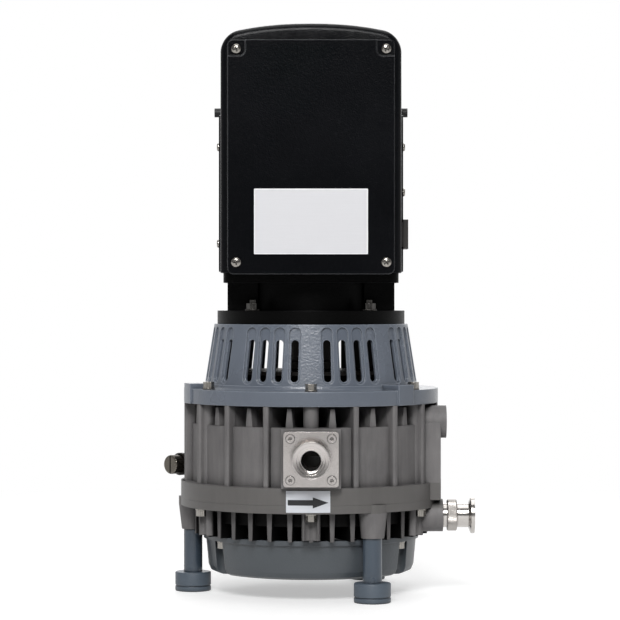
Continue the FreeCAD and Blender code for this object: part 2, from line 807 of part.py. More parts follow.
def fan_cover():
    low = fan_cover_low
    edge = fan_cover_bottom_edge
    thick = fan_cover_wall
    wall_top = fan_cover_radius - fan_cover_lip
    rim_low = lower_fin_low - fan_cover_rim
    outside = [
        (fan_cover_bottom_radius - edge, low),
        (fan_cover_bottom_radius - edge * edge_turn, low + edge * edge_turn),
        (fan_cover_bottom_radius, low + edge), (wall_top, rim_low), (fan_cover_radius, rim_low),
        (fan_cover_radius, lower_fin_low),
    ]
    inside = [
        (wall_top - thick, lower_fin_low), (fan_cover_bottom_radius - thick, low + edge + 1),
        (fan_cover_bottom_radius - thick - edge / 2, low + thick), (grille_reach, low + thick),
    ]
    form = revolved([(0, low)] + outside + [(0, lower_fin_low)])
    body = [revolved([(grille_reach, low)] + outside + inside)]
    for k in range(grille_ring_count):
        inner = grille_hub_radius + (k + 1) * grille_gap + k * grille_bar
        body.append(ring(inner + grille_bar, inner, low, low + thick))
    body.append(cylinder(grille_hub_radius, low, low + thick))
    spoke = block(0, grille_reach + 1, -grille_bar / 2, grille_bar / 2, low, low + thick)
    body += [turned(spoke, 360.0 / grille_spokes * k) for k in range(grille_spokes)]
    ears = []
    pockets = []
    for angle in fan_screw_angles:
        spot = polar(fan_screw_circle, angle)
        ear = cylinder(fan_screw_pocket + fan_ear_wall, low, lower_fin_low, spot)
        ears.append(ear.common(form))
        pockets.append(cylinder(fan_screw_pocket, low - 1, rim_low, spot))
        pockets.append(cylinder(bolt_radius + bolt_clearance, low, lower_fin_low + 1, spot))
    return cut(fuse(body + ears), pockets)


def leg(angle):
    spot = polar(leg_circle_radius, angle)
    post = cylinder(leg_radius, foot_height, leg_top, spot)
    screw = cylinder(leg_screw_radius - seat_gap, leg_top, leg_top + leg_screw_reach, spot)
    socket = cylinder(leg_screw_radius, foot_height - 1, foot_height + leg_screw_reach, spot)
    return fuse([post, screw]).cut(socket)


def foot(angle):
    spot = polar(leg_circle_radius, angle)
    low = foot_sole_height
    pad = cylinder(foot_radius, 0, foot_height, spot)
    groove = ring(foot_radius + 1, foot_radius - foot_groove, low, low + foot_groove, spot)
    hole = cylinder(floor_screw_hole_radius, -1, floor_screw_hole_depth, spot)
    stud = cylinder(leg_screw_radius - seat_gap, foot_height, foot_height + leg_screw_reach - 1, spot)
    return fuse([pad, stud]).cut(groove).cut(hole)


def hex_bolt(seat, spot, shank, upward=True):
    # head and washer on the seat, shank going the other way
    washer = ring(bolt_washer_radius, bolt_radius, 0, bolt_washer_thickness, spot)
    head = hexagon(bolt_head_radius, bolt_washer_thickness, bolt_washer_thickness + bolt_head_height, spot)
    stem = cylinder(bolt_radius - seat_gap, -shank, bolt_washer_thickness, spot)
    bolt = fuse([washer, head, stem])
    if not upward:
        bolt = bolt.mirror(Vector(0, 0, 0), Vector(0, 0, 1))
    return moved(bolt, z=seat)


def clamp_bolts():
    shank = lower_flange_thickness + upper_flange_thickness - bolt_end_room
    spots = [polar(clamp_bolt_circle, angle) for angle in bolt_angles]
    return [hex_bolt(lower_flange_low, spot, shank, upward=False) for spot in spots]


def bell_bolts():
    spots = [polar(bell_bolt_circle, angle) for angle in bolt_angles]
    return [hex_bolt(bell_flange_top, spot, bolt_length) for spot in spots]


def fan_cover_screws():
    screws = []
    for angle in fan_screw_angles:
        spot = polar(fan_screw_circle, angle)
        shank = fan_cover_rim + lower_fin_height - 1
        screws.append(hex_bolt(lower_fin_low - fan_cover_rim, spot, shank, upward=False))
    return screws


def casing_seal():
    inner = cavity_radius + joint_seal_inset + seat_gap
    outer = cavity_radius + joint_seal_inset + joint_seal_width - seat_gap
    return ring(outer, inner, joint_level - joint_seal_depth + seat_gap, joint_level - seat_gap)


def bearing(bore, outer, low, width, centre=Vector(0, 0, 0)):
    # two rings with a recess between them on both faces
    body = ring(outer - seat_gap, bore, low, low + width, centre)
    wall = (outer - bore) * bearing_race_share
    depth = width * bearing_recess_share
    face = ring(outer - wall, bore + wall, low - 1, low + depth, centre)
    back = ring(outer - wall, bore + wall, low + width - depth, low + width + 1, centre)
    return cut(body, [face, back])


def lower_bearing():
    return bearing(lower_journal_radius + shaft_clearance, lower_bearing_radius,
                   lower_bearing_low, lower_bearing_width)


def upper_bearing():
    return bearing(upper_journal_radius + shaft_clearance, upper_bearing_radius,
                   upper_bearing_low, upper_bearing_width)


def lower_shaft_seal():
    outer = lower_seal_radius - seat_gap
    return ring(outer, lower_journal_radius + shaft_clearance, lower_bearing_top, cavity_floor - seal_sink)


def upper_shaft_seal():
    outer = crank_pin_radius + seal_width - seat_gap
    return ring(outer, upper_journal_radius + shaft_clearance, cavity_ceiling + seal_sink, upper_bearing_low)


def bearing_retainer():
    top = upper_bearing_top + retainer_thickness
    plate = ring(upper_bearing_radius + hub_wall - retainer_inset, upper_journal_radius + retainer_bore_room,
                 upper_bearing_top, top)
    screw_circle = upper_bearing_radius + (hub_wall - retainer_inset / 2) / 2
    heads = [cylinder(retainer_screw_radius, upper_bearing_top, top + retainer_screw_radius,
                      polar(screw_circle, angle)) for angle in retainer_screw_angles]
    return fuse([plate] + heads)


def crankshaft():
    pin_centre = Vector(crank_throw, 0, 0)
    steps = [
        cylinder(fan_seat_radius, shaft_low, lower_bearing_low - shaft_step_gap),
        cylinder(lower_journal_radius, lower_bearing_low - shaft_step_gap, cavity_floor + tip_gap),
        cylinder(crank_pin_radius, cavity_floor + tip_gap, cavity_ceiling - tip_gap, pin_centre),
        cylinder(upper_journal_radius, cavity_ceiling - tip_gap, motor_flange_top),
        cylinder(motor_shaft_radius, motor_flange_top, rear_bearing_low - rear_step_gap),
        cylinder(rear_journal_radius, rear_bearing_low - rear_step_gap,
                 rear_bearing_low + rear_bearing_width + shaft_step_gap),
    ]
    return fuse(steps)


def fan_seat_screw():
    seat = shaft_low - fan_washer_thickness
    washer = cylinder(fan_seat_radius + fan_washer_rim, seat, shaft_low)
    head = hexagon(bolt_head_radius, seat - bolt_head_height * fan_screw_head_share, seat)
    return fuse([washer, head])


def fan(radius, low, height, blades, seat_radius):
    hub = cylinder(fan_hub_radius, low, low + height)
    disc = cylinder(radius - fan_disc_rim, low + height - fan_disc_thickness, low + height)
    blade = block(fan_hub_radius - 1, radius, -fan_blade_thickness / 2, fan_blade_thickness / 2,
                  low, low + height - fan_blade_drop)
    blade.rotate(Vector(fan_hub_radius, 0, 0), Vector(0, 0, 1), fan_blade_lean)
    body = [hub, disc] + [turned(blade, 360.0 / blades * k) for k in range(blades)]
    bore = cylinder(seat_radius + seat_gap, low - 1, low + height + 1)
    return fuse(body).cut(bore)


def pump_fan():
    return fan(pump_fan_radius, shaft_low, pump_fan_height, pump_fan_blades, fan_seat_radius)


def bell_fan():
    return fan(bell_fan_radius, bell_fan_low, bell_fan_height, bell_fan_blades, upper_journal_radius)


def half_disc_weight(radius, low, thickness, seat_radius):
    # opposite the crank pin, on the -X side
    disc = cylinder(radius, low, low + thickness)
    light_side = block(weight_light_side, radius + 1, -radius - 1, radius + 1, low - 1, low + thickness + 1)
    hub = cylinder(seat_radius + weight_hub_wall, low, low + thickness)
    bore = cylinder(seat_radius + seat_gap, low - 1, low + thickness + 1)
    return fuse([disc.cut(light_side), hub]).cut(bore)


def lower_counterweight():
    low = shaft_low + pump_fan_height
    return half_disc_weight(weight_radius, low, lower_weight_thickness, fan_seat_radius)


def upper_counterweight():
    low = bell_fan_low - upper_weight_thickness
    return half_disc_weight(weight_radius, low, upper_weight_thickness, upper_journal_radius)


def at_crank(shape):
    return moved(shape, x=crank_throw)


def orbiting_scroll():
    lugs = []
    bores = []
    for angle in pin_crank_names.values():
        spot = polar(pin_crank_circle, angle)
        lugs.append(cylinder(pin_crank_bearing_radius + lug_wall, orbit_low, orbit_top, spot))
        bores.append(cylinder(pin_crank_bearing_radius, orbit_low - 1, orbit_low + pin_crank_bearing_width,
                              spot))
        bores.append(cylinder(pin_crank_journal_radius + pin_crank_bore_room, orbit_low,
                              orbit_top - scroll_lug_floor, spot))
    plate = cylinder(orbit_plate_radius, orbit_low, orbit_top)
    hub_low = orbit_low - wrap_height
    hub_top = orbit_top + wrap_height
    hub = cylinder(orbit_hub_radius, hub_low, hub_top)
    bores.append(cylinder(pin_bearing_radius, hub_low - 1, hub_top + 1))
    body = fuse([plate, hub] + lugs)
    body = cut(body, bores)
    lower_wall = wrap_wall(hub_low, orbit_low)
    lower_wall = lower_wall.cut(seal_groove_wall(hub_low - 1, hub_low + tip_seal_depth))
    upper_wall = wrap_wall(orbit_top, hub_top)
    upper_wall = upper_wall.cut(seal_groove_wall(hub_top - tip_seal_depth, hub_top + 1))
    walls = [turned(lower_wall, 180), turned(upper_wall, 180)]
    return at_crank(fuse([body] + walls))


def tip_seal(low):
    # a strip a hair narrower than its groove
    share = (tip_seal_width - 2 * seat_gap) / wrap_thickness
    return wrap_strip(share, tip_seal_inset + seat_gap, low, low + tip_seal_depth + tip_gap / 2)


def fixed_tip_seals():
    lower = tip_seal(cavity_floor + wrap_height - tip_seal_depth)
    upper = tip_seal(cavity_ceiling - wrap_height - tip_gap / 2)
    return [lower, upper]


def orbiting_tip_seals():
    lower = turned(tip_seal(orbit_low - wrap_height - tip_gap / 2), 180)
    upper = turned(tip_seal(orbit_top + wrap_height - tip_seal_depth), 180)
    return [at_crank(lower), at_crank(upper)]


def pin_bearing():
    low = (orbit_low + orbit_top - pin_bearing_width) / 2
    centre = Vector(crank_throw, 0, 0)
    return bearing(crank_pin_radius + shaft_clearance, pin_bearing_radius, low, pin_bearing_width, centre)


def pin_crank(angle):
    spot = polar(pin_crank_circle, angle)
    throw = spot + Vector(crank_throw, 0, 0)
    foot_end = pin_post_top - pin_crank_bearing_width - pin_crank_foot_reach
    head_end = orbit_low + pin_crank_bearing_width + pin_crank_head_reach
    journal = cylinder(pin_crank_journal_radius, foot_end, pin_web_low, spot)
    web = cylinder(pin_crank_web_radius, pin_web_low, pin_web_top, spot)
    pin = cylinder(pin_crank_journal_radius, pin_web_top, head_end, throw)
    return fuse([journal, web, pin])


def pin_crank_post_bearings():
    low = pin_post_top - pin_crank_bearing_width
    return [bearing(pin_crank_journal_radius + shaft_clearance, pin_crank_bearing_radius, low,
                    pin_crank_bearing_width, polar(pin_crank_circle, angle))
            for angle in pin_crank_names.values()]


def pin_crank_lug_bearings():
    throw = Vector(crank_throw, 0, 0)
    return [bearing(pin_crank_journal_radius + shaft_clearance, pin_crank_bearing_radius, orbit_low,
                    pin_crank_bearing_width, polar(pin_crank_circle, angle) + throw)
            for angle in pin_crank_names.values()]


def nose(length, bore, start_tube=0.0):
    # small-flange nose along +Z: a tube, then a collar with a tapered back
    collar_low = length - port_flange_thickness
    taper_low = collar_low - port_taper
    outline = [
        (bore, start_tube), (port_tube_radius, start_tube), (port_tube_radius, taper_low),
        (port_flange_radius, collar_low), (port_flange_radius, length), (port_seat_radius, length),
        (port_seat_radius, length - port_seat_depth), (bore, length - port_seat_depth),
    ]
    return revolved(outline)


def inlet_plate():
    plate = rounded_plate(inlet_plate_size, inlet_plate_size, inlet_plate_corner, 0, inlet_plate_thickness)
    holes = [cylinder(port_bore_radius, -1, inlet_plate_thickness + 1)]
    half = inlet_screw_spacing / 2
    for x in (-half, half):
        for y in (-half, half):
            spot = Vector(x, y, 0)
            holes.append(cylinder(inlet_screw_radius + bolt_clearance, -1, inlet_plate_thickness + 1, spot))
            holes.append(cylinder(inlet_screw_head + inlet_screw_room,
                                  inlet_plate_thickness - inlet_screw_sink, inlet_plate_thickness + 1, spot))
    holes.append(ring(port_bore_radius + inlet_seal_outer + inlet_seal_room,
                      port_bore_radius + inlet_seal_inner - inlet_seal_room, -1, inlet_seal_depth))
    tube = moved(nose(inlet_nose_length, port_bore_radius), z=inlet_plate_thickness)
    shape = fuse([cut(plate, holes), tube])
    return moved(turned_to_front(shape, 0, inlet_height), y=-inlet_pad_reach)


def inlet_seal():
    shape = ring(port_bore_radius + inlet_seal_outer, port_bore_radius + inlet_seal_inner, 0,
                 inlet_seal_depth - inlet_seal_room / 2)
    return moved(turned_to_front(shape, 0, inlet_height), y=-inlet_pad_reach)


def socket_screw(head_radius, head_height, radius, shank):
    head = cylinder(head_radius, 0, head_height)
    socket = hexagon(head_radius / 2, head_height * screw_recess_start, head_height + 1)
    return fuse([head, cylinder(radius - seat_gap, -shank, 0)]).cut(socket)


def inlet_screws():
    half = inlet_screw_spacing / 2
    seat = inlet_plate_thickness - inlet_screw_sink
    screws = []
    for x in (-half, half):
        for z in (-half, half):
            screw = socket_screw(inlet_screw_head, inlet_screw_head_height, inlet_screw_radius,
                                 seat + inlet_screw_length - 1)
            screw = turned_to_front(moved(screw, z=seat), x, inlet_height + z)
            screws.append(moved(screw, y=-inlet_pad_reach))
    return screws


def exhaust_adapter():
    # the valve disc rests on a step in the bore, and a spider beyond it guides the stem
    thread = ring(port_bore_radius - seat_gap, valve_seat_radius, -exhaust_thread_length, valve_place)
    length = exhaust_nut_gap + exhaust_nut_width + exhaust_nose_length
    tube = nose(length, exhaust_bore_radius)
    low = valve_place + valve_disc_thickness + valve_travel + valve_stop_gap
    guide = cylinder(valve_stem_radius * 2, low, low + spider_thickness)
    reach = exhaust_bore_radius + spider_root
    bars = [turned(block(-reach, reach, -spider_bar / 2,
                         spider_bar / 2, low, low + spider_thickness), 90.0 * k) for k in range(2)]
    shape = fuse([thread, tube, guide] + bars)
    shape = shape.cut(cylinder(valve_stem_radius + shaft_clearance, low - 1, low + spider_thickness + 1))
    return moved(turned_to_x(shape, port_place, port_height), x=exhaust_boss_reach)


def exhaust_nut():
    low = exhaust_nut_gap
    body = ring(exhaust_nut_radius, port_tube_radius + seat_gap, low, low + exhaust_nut_width)
    rim = [edge for edge in body.Edges if abs(edge.Length - 2 * math.pi * exhaust_nut_radius) < 0.5]
    body = body.makeChamfer(nut_edge, rim)
    return moved(turned_to_x(body, port_place, port_height), x=exhaust_boss_reach)


def exhaust_valve():
    # a light disc with a guide stem that lifts outwards when gas leaves
    stem = cylinder(valve_stem_radius, valve_disc_thickness, valve_stem_length)
    disc = cylinder(exhaust_bore_radius - valve_disc_room, 0, valve_disc_thickness)
    shape = turned_to_x(fuse([disc, stem]), port_place, port_height)
    return moved(shape, x=exhaust_boss_reach + valve_place)


def upper_port_plug():
    plug = cylinder(port_bore_radius - seat_gap, -plug_start, -plug_face)
    shape = plug.cut(hexagon(plug_socket, -plug_face - plug_socket_depth, 0))
    return moved(turned_to_x(shape, port_place, upper_port_height), x=upper_port_boss_reach)


def at_ballast(shape):
    # from standing on +Z to lying on the ballast valve's own axis, turned from -X towards the front
    copy = shape.copy()
    copy.rotate(Vector(0, 0, 0), Vector(0, 1, 0), -90)
    copy.rotate(Vector(0, 0, 0), Vector(0, 0, 1), ballast_turn)
    copy.translate(Vector(ballast_seat_x, ballast_seat_y, ballast_height))
    return copy


def ballast_body():
    collar = cylinder(ballast_body_radius, 0, ballast_body_length)
    rim = [edge for edge in collar.Edges if edge.CenterOfMass.z > ballast_body_length - 0.01
           and len(edge.Vertexes) == 1]
    collar = collar.makeChamfer(ballast_knob_edge / 2, rim)
    thread_low = -ballast_thread_length
    thread = cylinder(ballast_bore_radius - seat_gap, thread_low, 0)
    bore = cylinder(ballast_stem_radius + shaft_clearance, thread_low - 1, ballast_body_length + 1)
    return at_ballast(fuse([collar, thread]).cut(bore))


def ballast_knob():
    low = ballast_body_length + knob_gap
    top = low + ballast_knob_length
    grip = cylinder(ballast_knob_radius, low, top)
    rims = [edge for edge in grip.Edges if abs(edge.Length - 2 * math.pi * ballast_knob_radius) < 0.5]
    grip = grip.makeFillet(ballast_knob_edge, rims)
    rim_place = Vector(ballast_knob_radius + knob_notch_radius / 3, 0, 0)
    notch = cylinder(knob_notch_radius, low - 1, top + 1, rim_place)
    grip = cut(grip, [turned(notch, 360.0 / knob_notch_count * k) for k in range(knob_notch_count)])
    slot = block(-ballast_knob_radius, ballast_knob_radius, -knob_slot_width / 2, knob_slot_width / 2,
                 top - knob_slot_depth, top + 1)
    stem = cylinder(ballast_stem_radius, -ballast_stem_length, low)
    return at_ballast(fuse([grip.cut(slot), stem]))


def motor_neck():
    body = [
        cylinder(motor_flange_radius, bell_top, motor_flange_top),
        cylinder(neck_barrel_radius, motor_flange_top, neck_top - neck_plate_thickness),
        rounded_plate(2 * neck_plate_half, 2 * neck_plate_half, neck_plate_corner,
                      neck_top - neck_plate_thickness, neck_top),
    ]
    for x in (-neck_half_width, neck_web_inset):
        body.append(block(x, x + neck_half_width - neck_web_inset, -neck_web_half_depth,
                          neck_web_half_depth, motor_flange_top, neck_top - neck_plate_thickness))
    inner = neck_barrel_radius - neck_barrel_wall
    holes = [cylinder(inner, bell_top - 1, neck_top + 1)]
    for x, y in stud_places:
        holes.append(cylinder(stud_radius + bolt_clearance, bell_top - 1, motor_flange_top + 1,
                              Vector(x, y, 0)))
    return cut(fuse(body), holes)


def motor_studs():
    return [cylinder(stud_radius - seat_gap, bell_top - bell_wall, motor_flange_top + stud_height,
                     Vector(x, y, 0)) for x, y in stud_places]


def motor_nuts():
    nuts = []
    for x, y in stud_places:
        spot = Vector(x, y, 0)
        washer = cylinder(stud_washer_radius, motor_flange_top,
                          motor_flange_top + bolt_washer_thickness, spot)
        low = motor_flange_top + bolt_washer_thickness
        nut = fuse([washer, hexagon(nut_radius, low, low + nut_height, spot)])
        nuts.append(nut.cut(cylinder(stud_radius, motor_flange_top - 1, low + nut_height + 1, spot)))
    return nuts


def motor_frame():
    return ring(stator_radius + motor_frame_wall, stator_radius + seat_gap, neck_top, frame_top)


def stator():
    stack = ring(stator_radius, stator_bore_radius, stator_low, stator_top)
    centre = stator_bore_radius + stator_slot_centre
    slot = cylinder(stator_slot_radius, stator_low - 1, stator_top + 1, Vector(centre, 0, 0))
    mouth = block(stator_bore_radius - 1, centre, -stator_slot_mouth / 2, stator_slot_mouth / 2,
                  stator_low - 1, stator_top + 1)
    tools = []
    for k in range(stator_slots):
        tools.append(turned(slot, 360.0 / stator_slots * k))
        tools.append(turned(mouth, 360.0 / stator_slots * k))
    return cut(stack, tools)


def windings():
    inner = stator_bore_radius + winding_inset
    outer = inner + winding_wall
    coils = []
    for low in (stator_low - winding_height, stator_top):
        coil = ring(outer, inner, low, low + winding_height)
        rims = [edge for edge in coil.Edges if abs(edge.Length - 2 * math.pi * outer) < 0.5]
        coils.append(coil.makeFillet(winding_edge, rims))
    return coils


def rotor():
    outer = stator_bore_radius - rotor_gap
    core = ring(outer, motor_shaft_radius + seat_gap, stator_low, stator_top)
    ends = [ring(outer - rotor_ring_inset, motor_shaft_radius + seat_gap, low, low + rotor_ring_height)
            for low in (stator_low - rotor_ring_height, stator_top)]
    return fuse([core] + ends)


def rear_shield():
    outer = stator_radius + motor_frame_wall
    hub = rear_bearing_radius + hub_wall
    body = fuse([
        cylinder(outer, frame_top, rear_bearing_low),
        cylinder(hub, rear_bearing_low, frame_top + rear_shield_height),
    ])
    rib = block(hub - 1, outer - shield_rib_inset, -shield_rib / 2, shield_rib / 2,
                rear_bearing_low, rear_bearing_low + shield_rib_height)
    ribs = [turned(rib, 360.0 / shield_rib_count * k + shield_rib_turn) for k in range(shield_rib_count)]
    bearing_end = rear_bearing_low + rear_bearing_width
    holes = [
        cylinder(rear_journal_radius + shield_bore_room, frame_top - 1, bearing_end + shield_bore_room),
        cylinder(rear_bearing_radius, rear_bearing_low, bearing_end),
    ]
    return cut(fuse([body] + ribs), holes)


def rear_bearing():
    return bearing(rear_journal_radius + shaft_clearance, rear_bearing_radius,
                   rear_bearing_low, rear_bearing_width)


def enclosure_form(shrink, front, back):
    # upright sides under a shallow arch, seen from the front, run from front to back
    half = enclosure_half_width - shrink
    low = neck_top + shrink
    spring = enclosure_top - enclosure_arch - shrink
    corners = [Vector(-half, front, spring), Vector(-half, front, low),
               Vector(half, front, low), Vector(half, front, spring)]
    sides = [Part.makeLine(corners[k], corners[k + 1]) for k in range(3)]
    arch = Part.Arc(corners[3], Vector(0, front, enclosure_top - shrink), corners[0])
    face = Part.Face(Part.Wire(sides + [arch.toShape()]))
    form = face.extrude(Vector(0, back - front, 0))
    long_top = [edge for edge in form.Edges
                if abs(edge.Length - (back - front)) < 0.01
                and abs(edge.CenterOfMass.z - spring) < 0.01]
    return form.makeFillet(enclosure_corner_radius - shrink, long_top)


def enclosure():
    depth = enclosure_half_depth
    outer = enclosure_form(0.0, -depth, depth)
    rims = [edge for edge in outer.Edges
            if abs(abs(edge.CenterOfMass.y) - depth) < 0.01 and edge.BoundBox.ZMax > neck_top + 1]
    outer = outer.makeFillet(enclosure_edge_radius, rims)
    inner = enclosure_form(enclosure_wall, -depth + enclosure_wall, depth - enclosure_wall)
    window = front_cover_width / 2 - window_margin
    frame_hole = stator_radius + motor_frame_wall + frame_hole_room
    holes = [
        inner,
        block(-window, window, -depth - 1, -depth + enclosure_wall + 1,
              neck_top + window_margin, front_cover_top - window_margin),
        cylinder(frame_hole, neck_top - 1, neck_top + enclosure_wall + 1),
        socket_window(socket_x - socket_depth, enclosure_half_width + 1, socket_window_inset),
    ]
    for k in range(vent_count):
        level = neck_top + vent_low + vent_pitch * k
        holes.append(block(-vent_half_width, vent_half_width, depth - enclosure_wall - 1, depth + 1,
                           level, level + vent_height))
    for x in (-1, 1):
        start = x * (enclosure_half_width - enclosure_wall / 2) - enclosure_wall
        end = start + 2 * enclosure_wall
        holes.append(cylinder_x(side_knob_stud, start, end, 0, side_knob_level))
        for y, z in panel_screw_places[x]:
            holes.append(cylinder_x(panel_screw_radius, start, end, y, z))
    for x, z in cover_screw_places:
        holes.append(cylinder_y(cover_thread_radius, -depth - 1, -depth + cover_boss_depth, x, z))
    bosses = [cylinder_y(cover_thread_radius + cover_boss_wall, -depth + enclosure_wall / 2,
                         -depth + cover_boss_depth, x, z) for x, z in cover_screw_places]
    return cut(fuse([outer.cut(inner)] + bosses), holes[1:])


def front_cover():
    back = -enclosure_half_depth
    plate = rounded_plate(front_cover_width, front_cover_height, front_cover_corner_radius,
                          0, front_cover_thickness)
    face = [edge for edge in plate.Edges
            if abs(edge.CenterOfMass.z - front_cover_thickness) < 0.01]
    plate = plate.makeFillet(cover_edge_round, face)
    half_width = front_cover_width / 2
    half_height = front_cover_height / 2
    holes = []
    for side in (-1, 1):
        pocket = rounded_plate(2 * cover_pocket, 2 * cover_pocket, cover_pocket_corner,
                               front_cover_thickness - cover_pocket_depth, front_cover_thickness + 1)
        holes.append(moved(pocket, x=side * half_width, y=half_height))
    middle = front_cover_top - half_height
    for x, z in cover_screw_places:
        holes.append(cylinder(cover_thread_radius + bolt_clearance, -1, front_cover_thickness + 1,
                              Vector(x, z - middle, 0)))
    lower_seats = [cylinder(cover_screw_radius + cover_seat_room, front_cover_thickness - cover_pocket_depth,
                            front_cover_thickness + 1, Vector(x, z - middle, 0))
                   for x, z in cover_screw_places]
    shape = cut(plate, holes + lower_seats)
    return moved(turned_to_front(shape, 0, middle), y=back)


def pan_screw(head_radius, head_height, radius, shank):
    head = cylinder(head_radius, 0, head_height)
    rim = [edge for edge in head.Edges
           if edge.CenterOfMass.z > head_height - 0.01 and len(edge.Vertexes) == 1]
    head = head.makeFillet(head_height * screw_head_round, rim)
    reach = head_radius * screw_cross_reach
    half = screw_cross_width / 2
    cross = fuse([block(-reach, reach, -half, half, head_height / 2, head_height + 1),
                  block(-half, half, -reach, reach, head_height / 2, head_height + 1)])
    return fuse([head, cylinder(radius - seat_gap, -shank, 0)]).cut(cross)


def cover_screws():
    seat = front_cover_thickness - cover_pocket_depth
    screws = []
    for x, z in cover_screw_places:
        screw = pan_screw(cover_screw_radius, cover_screw_head, cover_thread_radius,
                          seat + cover_boss_depth - 1)
        screws.append(moved(turned_to_front(moved(screw, z=seat), x, z), y=-enclosure_half_depth))
    return screws


def side_panel(side):
    low = neck_top + side_panel_lift
    start = enclosure_half_width
    depth = side_panel_half_depth
    panel = rounded_plate(side_panel_height, 2 * depth, side_panel_corner, 0, side_panel_thickness)
    panel = moved(turned_to_x(panel, 0, low + side_panel_height / 2), x=start)
    holes = [cylinder_x(panel_screw_radius + bolt_clearance, start - 1, start + side_panel_thickness + 1,
                        y, z) for y, z in panel_screw_places[side]]
    if side > 0:
        holes.append(socket_window(start - 1, start + side_panel_thickness + 1, socket_window_inset))
    panel = cut(panel, holes)
    return panel if side > 0 else panel.mirror(Vector(0, 0, 0), Vector(1, 0, 0))


def panel_screws():
    screws = []
    for side in (-1, 1):
        for y, z in panel_screw_places[side]:
            screw = pan_screw(panel_screw_head, panel_screw_head_height, panel_screw_radius,
                              side_panel_thickness + enclosure_wall + 1)
            screw = turned_to_x(screw, 0, z)
            screw = moved(screw, x=enclosure_half_width + side_panel_thickness, y=y)
            screws.append(screw if side > 0 else screw.mirror(Vector(0, 0, 0), Vector(1, 0, 0)))
    return screws


def side_knobs():
    knobs = []
    for side in (-1, 1):
        body = fuse([cylinder(side_knob_radius, 0, side_knob_length),
                     cylinder(side_knob_stud - seat_gap, -enclosure_wall, 0)])
        knob = moved(turned_to_x(body, 0, side_knob_level), x=enclosure_half_width)
        knobs.append(knob if side > 0 else knob.mirror(Vector(0, 0, 0), Vector(1, 0, 0)))
    return knobs


def socket_window(start, end, inset):
    half_width = socket_width / 2 - inset
    half_height = socket_height / 2 - inset
    return block(start, end, socket_place - half_width, socket_place + half_width,
                 socket_level - half_height, socket_level + half_height)


def power_socket():
    # mains inlet: a bezel on the right panel, a body behind it and three flat pins on the floor of its well
    face = enclosure_half_width + side_panel_thickness
    bezel = socket_window(face, face + socket_proud, 0)
    body = socket_window(socket_x - socket_depth, face + 1, socket_window_inset + socket_body_room)
    well = socket_window(face - socket_well, face + socket_proud + 1, socket_well_wall)
    half_wide, half_tall = socket_pin_half
    pins = []
    for place in (-1, 0, 1):
        y = socket_place + place * socket_pin_spacing
        z = socket_level if place else socket_level + socket_earth_rise
        pins.append(block(face - socket_well, face - socket_pin_drop, y - half_wide, y + half_wide,
                          z - half_tall, z + half_tall))
    return [fuse([bezel, body]).cut(well)] + pins


def driver_board():
    front = -enclosure_half_depth + enclosure_wall + board_standoff
    board = block(-board_width / 2, board_width / 2, front, front + board_thickness, board_low,
                  board_low + board_height)
    posts = [cylinder_y(board_post_radius, -enclosure_half_depth + enclosure_wall, front, x, z)
             for x, z in board_post_places]
    return fuse([board] + posts)


def board_capacitors():
    start = -enclosure_half_depth + enclosure_wall + board_standoff + board_thickness
    level = frame_top + rear_shield_height + capacitor_radius + capacitor_rise
    return [cylinder_y(capacitor_radius, start, start + capacitor_length, capacitor_pitch * k, level)
            for k in (-1, 0, 1)]


def fixed_pieces():
    pieces = {
        "lower_casing": lower_casing(),
        "upper_casing": upper_casing(),
        "bell": bell(),
        "fan_cover": fan_cover(),
        "clamp_bolts": clamp_bolts(),
        "bell_bolts": bell_bolts(),
        "fan_cover_screws": fan_cover_screws(),
        "casing_seal": casing_seal(),
        "lower_bearing": lower_bearing(),
        "upper_bearing": upper_bearing(),
        "shaft_seals": [lower_shaft_seal(), upper_shaft_seal()],
        "bearing_retainer": bearing_retainer(),
        "fixed_tip_seals": fixed_tip_seals(),
        "pin_crank_post_bearings": pin_crank_post_bearings(),
        "inlet_plate": inlet_plate(),
        "inlet_seal": inlet_seal(),
        "inlet_screws": inlet_screws(),
        "exhaust_adapter": exhaust_adapter(),
        "exhaust_nut": exhaust_nut(),
        "upper_port_plug": upper_port_plug(),
        "ballast_body": ballast_body(),
    }
    for name, angle in leg_names.items():
        pieces["leg_" + name] = leg(angle)
        pieces["foot_" + name] = foot(angle)
    return pieces


def motor_pieces():
    return {
        "motor_neck": motor_neck(),
        "motor_fasteners": motor_studs() + motor_nuts(),
        "motor_frame": motor_frame(),
        "stator": stator(),
        "windings": windings(),
        "rear_shield": rear_shield(),
        "rear_bearing": rear_bearing(),
        "enclosure": enclosure(),
        "front_cover": front_cover(),
        "cover_screws": cover_screws(),
        "side_panel_left": side_panel(-1),
        "side_panel_right": side_panel(1),
        "panel_screws": panel_screws(),
        "side_knobs": side_knobs(),
        "power_socket": power_socket(),
        "driver_board": driver_board(),
        "board_capacitors": board_capacitors(),
    }


def moving_pieces():
    pieces = {
        "crankshaft": crankshaft(),
        "pump_fan": pump_fan(),
        "bell_fan": bell_fan(),
        "lower_counterweight": lower_counterweight(),
        "upper_counterweight": upper_counterweight(),
        "rotor": rotor(),
        "fan_seat_screw": fan_seat_screw(),
        "orbiting_scroll": orbiting_scroll(),
        "orbiting_tip_seals": orbiting_tip_seals(),
        "pin_bearing": pin_bearing(),
        "pin_crank_lug_bearings": pin_crank_lug_bearings(),
        "exhaust_valve": exhaust_valve(),
        "ballast_knob": ballast_knob(),
    }
    for name, angle in pin_crank_names.items():
        pieces["pin_crank_" + name] = pin_crank(angle)
    return pieces


def write(pieces):
    for name, shape in pieces.items():
        if isinstance(shape, list):
            shape = Part.makeCompound(shape)
        shape.exportStep("parts/" + name + ".step")


os.makedirs("parts", exist_ok=True)
write(fixed_pieces())
write(motor_pieces())
write(moving_pieces())
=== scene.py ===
import math
import bmesh
import bpy
from mathutils import Matrix, Vector


